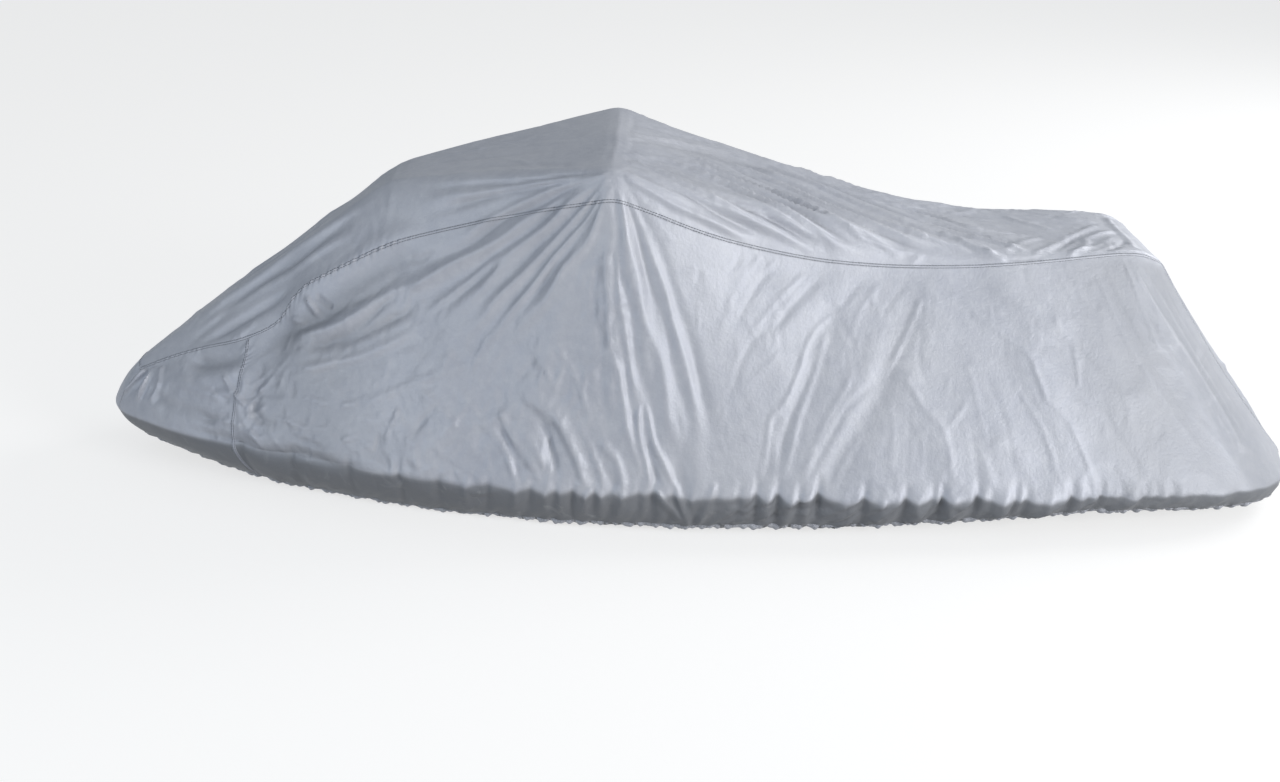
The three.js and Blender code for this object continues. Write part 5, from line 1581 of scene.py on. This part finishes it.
class CoverColours(bpy.types.PropertyGroup):
    """Colours, as they look on a display."""

    silver: bpy.props.FloatVectorProperty(
        name="Silver", description="Main colour of the coated cloth",
        default=(0.79, 0.798, 0.832), size=3, min=0, max=1, subtype="COLOR_GAMMA")
    silver_deep: bpy.props.FloatVectorProperty(
        name="Deep silver", description="Where the coating is thinner",
        default=(0.74, 0.752, 0.795), size=3, min=0, max=1, subtype="COLOR_GAMMA")
    # Pale silver is also the painted highlight, blended in on fold crests and below the handlebar peak.
    silver_pale: bpy.props.FloatVectorProperty(
        name="Pale silver", description="Where the coating is rubbed",
        default=(0.88, 0.885, 0.905), size=3, min=0, max=1, subtype="COLOR_GAMMA")
    # Grey of the painted shade, blended in where the shading attribute is above 0: in the fold troughs, on
    # the forward side and most under the rim.
    painted_shade: bpy.props.FloatVectorProperty(
        name="Grime", description="Dust that settles in the hollows",
        default=(0.50, 0.51, 0.53), size=3, min=0, max=1, subtype="COLOR_GAMMA")
    inner: bpy.props.FloatVectorProperty(
        name="Inner face", description="Uncoated inner face",
        default=(0.62, 0.63, 0.65), size=3, min=0, max=1, subtype="COLOR_GAMMA")
    thread: bpy.props.FloatVectorProperty(
        name="Thread", description="Sewing thread",
        default=(0.36, 0.38, 0.42), size=3, min=0, max=1, subtype="COLOR_GAMMA")
    floor: bpy.props.FloatVectorProperty(
        name="Floor", description="Studio floor",
        default=(0.93, 0.93, 0.93), size=3, min=0, max=1, subtype="COLOR_GAMMA")


# ---- operators -----------------------------------------------------------------


def settle(piece, node, extras=()):
    """Rides a piece and its extras on the body in a node's stead."""
    for one in (piece, *extras):
        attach(one, "root")
        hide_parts(node)


class COVER_OT_side_panels(bpy.types.Operator):
    """Makes the two side panels with their seams and gathered hems"""

    bl_idname = "cover.side_panels"
    bl_label = "Side panels"

    def execute(self, context):
        sizes, made = context.scene.cover_sizes, finishes()
        for name, side, coarse in (("port", -1, 1.06), ("starboard", 1, 1.35)):
            cloth_piece = side_panel(f"{name}_side_cloth", side, sizes.grid * coarse,
                                     [made["cloth"], made["inner"]], sizes.thickness)
            extras = [
                *seam_band(f"{name}_long_seam", beside_long_seam, NOSE, REAR, side, made, sizes.stitch),
                *seam_band(f"{name}_stern_seam", beside_stern_seam, SEAM_G, HEM_G, side, made, sizes.stitch),
                *hem_casing(f"{name}_hem", [(beside_hem, np.linspace(UPRIGHT, REAR, 500), side)],
                             made, sizes.stitch),
            ]
            settle(cloth_piece, f"{name}_side_panel", extras)
        return {"FINISHED"}


class COVER_OT_top_panel(bpy.types.Operator):
    """Makes the top panel, which runs from the nose over the seat and down the stern"""

    bl_idname = "cover.top_panel"
    bl_label = "Top panel"

    def execute(self, context):
        sizes, made = context.scene.cover_sizes, finishes()
        cloth_piece = top_panel("top_cloth", [made["cloth"], made["inner"]], sizes.thickness)
        hem = hem_casing("stern_hem", [(beside_stern_hem, np.linspace(1, 0, 120), -1),
                                        (beside_stern_hem, np.linspace(0, 1, 120), 1)], made, sizes.stitch)
        settle(cloth_piece, "top_panel", hem)
        return {"FINISHED"}


class COVER_OT_bow_panel(bpy.types.Operator):
    """Makes the bow panel with its nose seam, upright seams and gathered hem"""

    bl_idname = "cover.bow_panel"
    bl_label = "Bow panel"

    def execute(self, context):
        sizes, made = context.scene.cover_sizes, finishes()
        cloth_piece = bow_panel("bow_cloth", [made["cloth"], made["inner"]], sizes.thickness)
        extras = [
            *seam_band("port_upright_seam", beside_upright_seam, SEAM_G + 0.02, HEM_G, -1,
                       made, sizes.stitch),
            *seam_band("starboard_upright_seam", beside_upright_seam, SEAM_G + 0.02, HEM_G, 1,
                       made, sizes.stitch),
            *seam_band("port_nose_seam", beside_nose_seam, 0.0, 0.97, -1, made, sizes.stitch),
            *seam_band("starboard_nose_seam", beside_nose_seam, 0.0, 0.97, 1, made, sizes.stitch),
            *hem_casing("bow_hem", [(beside_hem, np.linspace(UPRIGHT, BOW, 250), -1),
                                     (beside_hem, np.linspace(BOW, UPRIGHT, 250), 1)], made, sizes.stitch),
        ]
        settle(cloth_piece, "bow_panel", extras)
        return {"FINISHED"}


def area_lamp(name, place, target, size, power, tint):
    """A square soft lamp that faces a target."""
    data = bpy.data.lights.new(name, "AREA")
    data.shape, data.size, data.energy, data.color = "SQUARE", size, power, tint
    lamp = bpy.data.objects.new(name, data)
    lamp.location = place
    lamp.rotation_euler = (Vector(target) - Vector(place)).to_track_quat("-Z", "Y").to_euler()
    bpy.context.scene.collection.objects.link(lamp)


class COVER_OT_stage(bpy.types.Operator):
    """Makes the studio floor, the lamps and the camera"""

    bl_idname = "cover.stage"
    bl_label = "Studio"

    def execute(self, context):
        scene = context.scene
        low = CAD_BOX[0][2] - 0.008
        floor = new_piece("studio_floor",
                          np.array([(-30, -30, low), (30, -30, low), (30, 30, low), (-30, 30, low)], float),
                          [(0, 1, 2, 3)], floor_finish(scene.cover_colours))
        middle = (0.2, -0.1, -0.45)
        area_lamp("key lamp", (5.3, -4.6, 1.6), middle, 2.6, 292, (1.0, 1.0, 0.99))
        area_lamp("fill lamp", (-4.4, -4.0, 1.3), middle, 3.4, 76, (0.80, 0.90, 1.0))
        area_lamp("back lamp", (5.8, 2.4, 2.8), middle, 3.5, 230, (1.0, 1.0, 0.99))
        world = bpy.data.worlds.new("studio")
        world.use_nodes = True
        world.node_tree.nodes["Background"].inputs["Color"].default_value = (0.89, 0.95, 1.0, 1)
        world.node_tree.nodes["Background"].inputs["Strength"].default_value = 0.30
        scene.world = world
        scene.view_settings.view_transform = "Standard"
        data = bpy.data.cameras.new("camera")
        data.lens, data.sensor_width = 39.375, 36.0
        camera = bpy.data.objects.new("camera", data)
        turn, pitch, roll = math.radians(-0.709), math.radians(23.873), math.radians(-0.119)
        ahead = Vector((math.sin(turn) * math.cos(pitch), math.cos(turn) * math.cos(pitch), -math.sin(pitch)))
        right = Vector((math.cos(turn), -math.sin(turn), 0))
        up = right.cross(ahead)
        right, up = math.cos(roll) * right + math.sin(roll) * up, math.cos(roll) * up - math.sin(roll) * right
        basis = Matrix((right, up, -ahead)).transposed().to_4x4()
        camera.matrix_world = Matrix.Translation((0.103, -3.787, 0.911)) @ basis
        scene.collection.objects.link(camera)
        scene.camera = camera
        return {"FINISHED"}


class COVER_PT_panel(bpy.types.Panel):
    """Lists the cover's operators, sizes and colours"""

    bl_idname = "COVER_PT_panel"
    bl_label = "Watercraft cover"
    bl_space_type = "VIEW_3D"
    bl_region_type = "UI"
    bl_category = "Cover"

    def draw(self, context):
        for one in STEPS:
            self.layout.operator(one.bl_idname)
        for group in (context.scene.cover_sizes, context.scene.cover_colours):
            for name in group.__annotations__:
                self.layout.prop(group, name)


STEPS = (COVER_OT_stage, COVER_OT_side_panels, COVER_OT_top_panel, COVER_OT_bow_panel)
CLASSES = (CoverSizes, CoverColours, *STEPS, COVER_PT_panel)


def register():
    for one in CLASSES:
        bpy.utils.register_class(one)
    bpy.types.Scene.cover_sizes = bpy.props.PointerProperty(type=CoverSizes)
    bpy.types.Scene.cover_colours = bpy.props.PointerProperty(type=CoverColours)


def unregister():
    del bpy.types.Scene.cover_sizes, bpy.types.Scene.cover_colours
    for one in reversed(CLASSES):
        bpy.utils.unregister_class(one)


def main():
    register()
    bpy.ops.cover.stage()
    bpy.ops.cover.side_panels()
    bpy.ops.cover.top_panel()
    bpy.ops.cover.bow_panel()


if __name__ == "__main__":
    main()
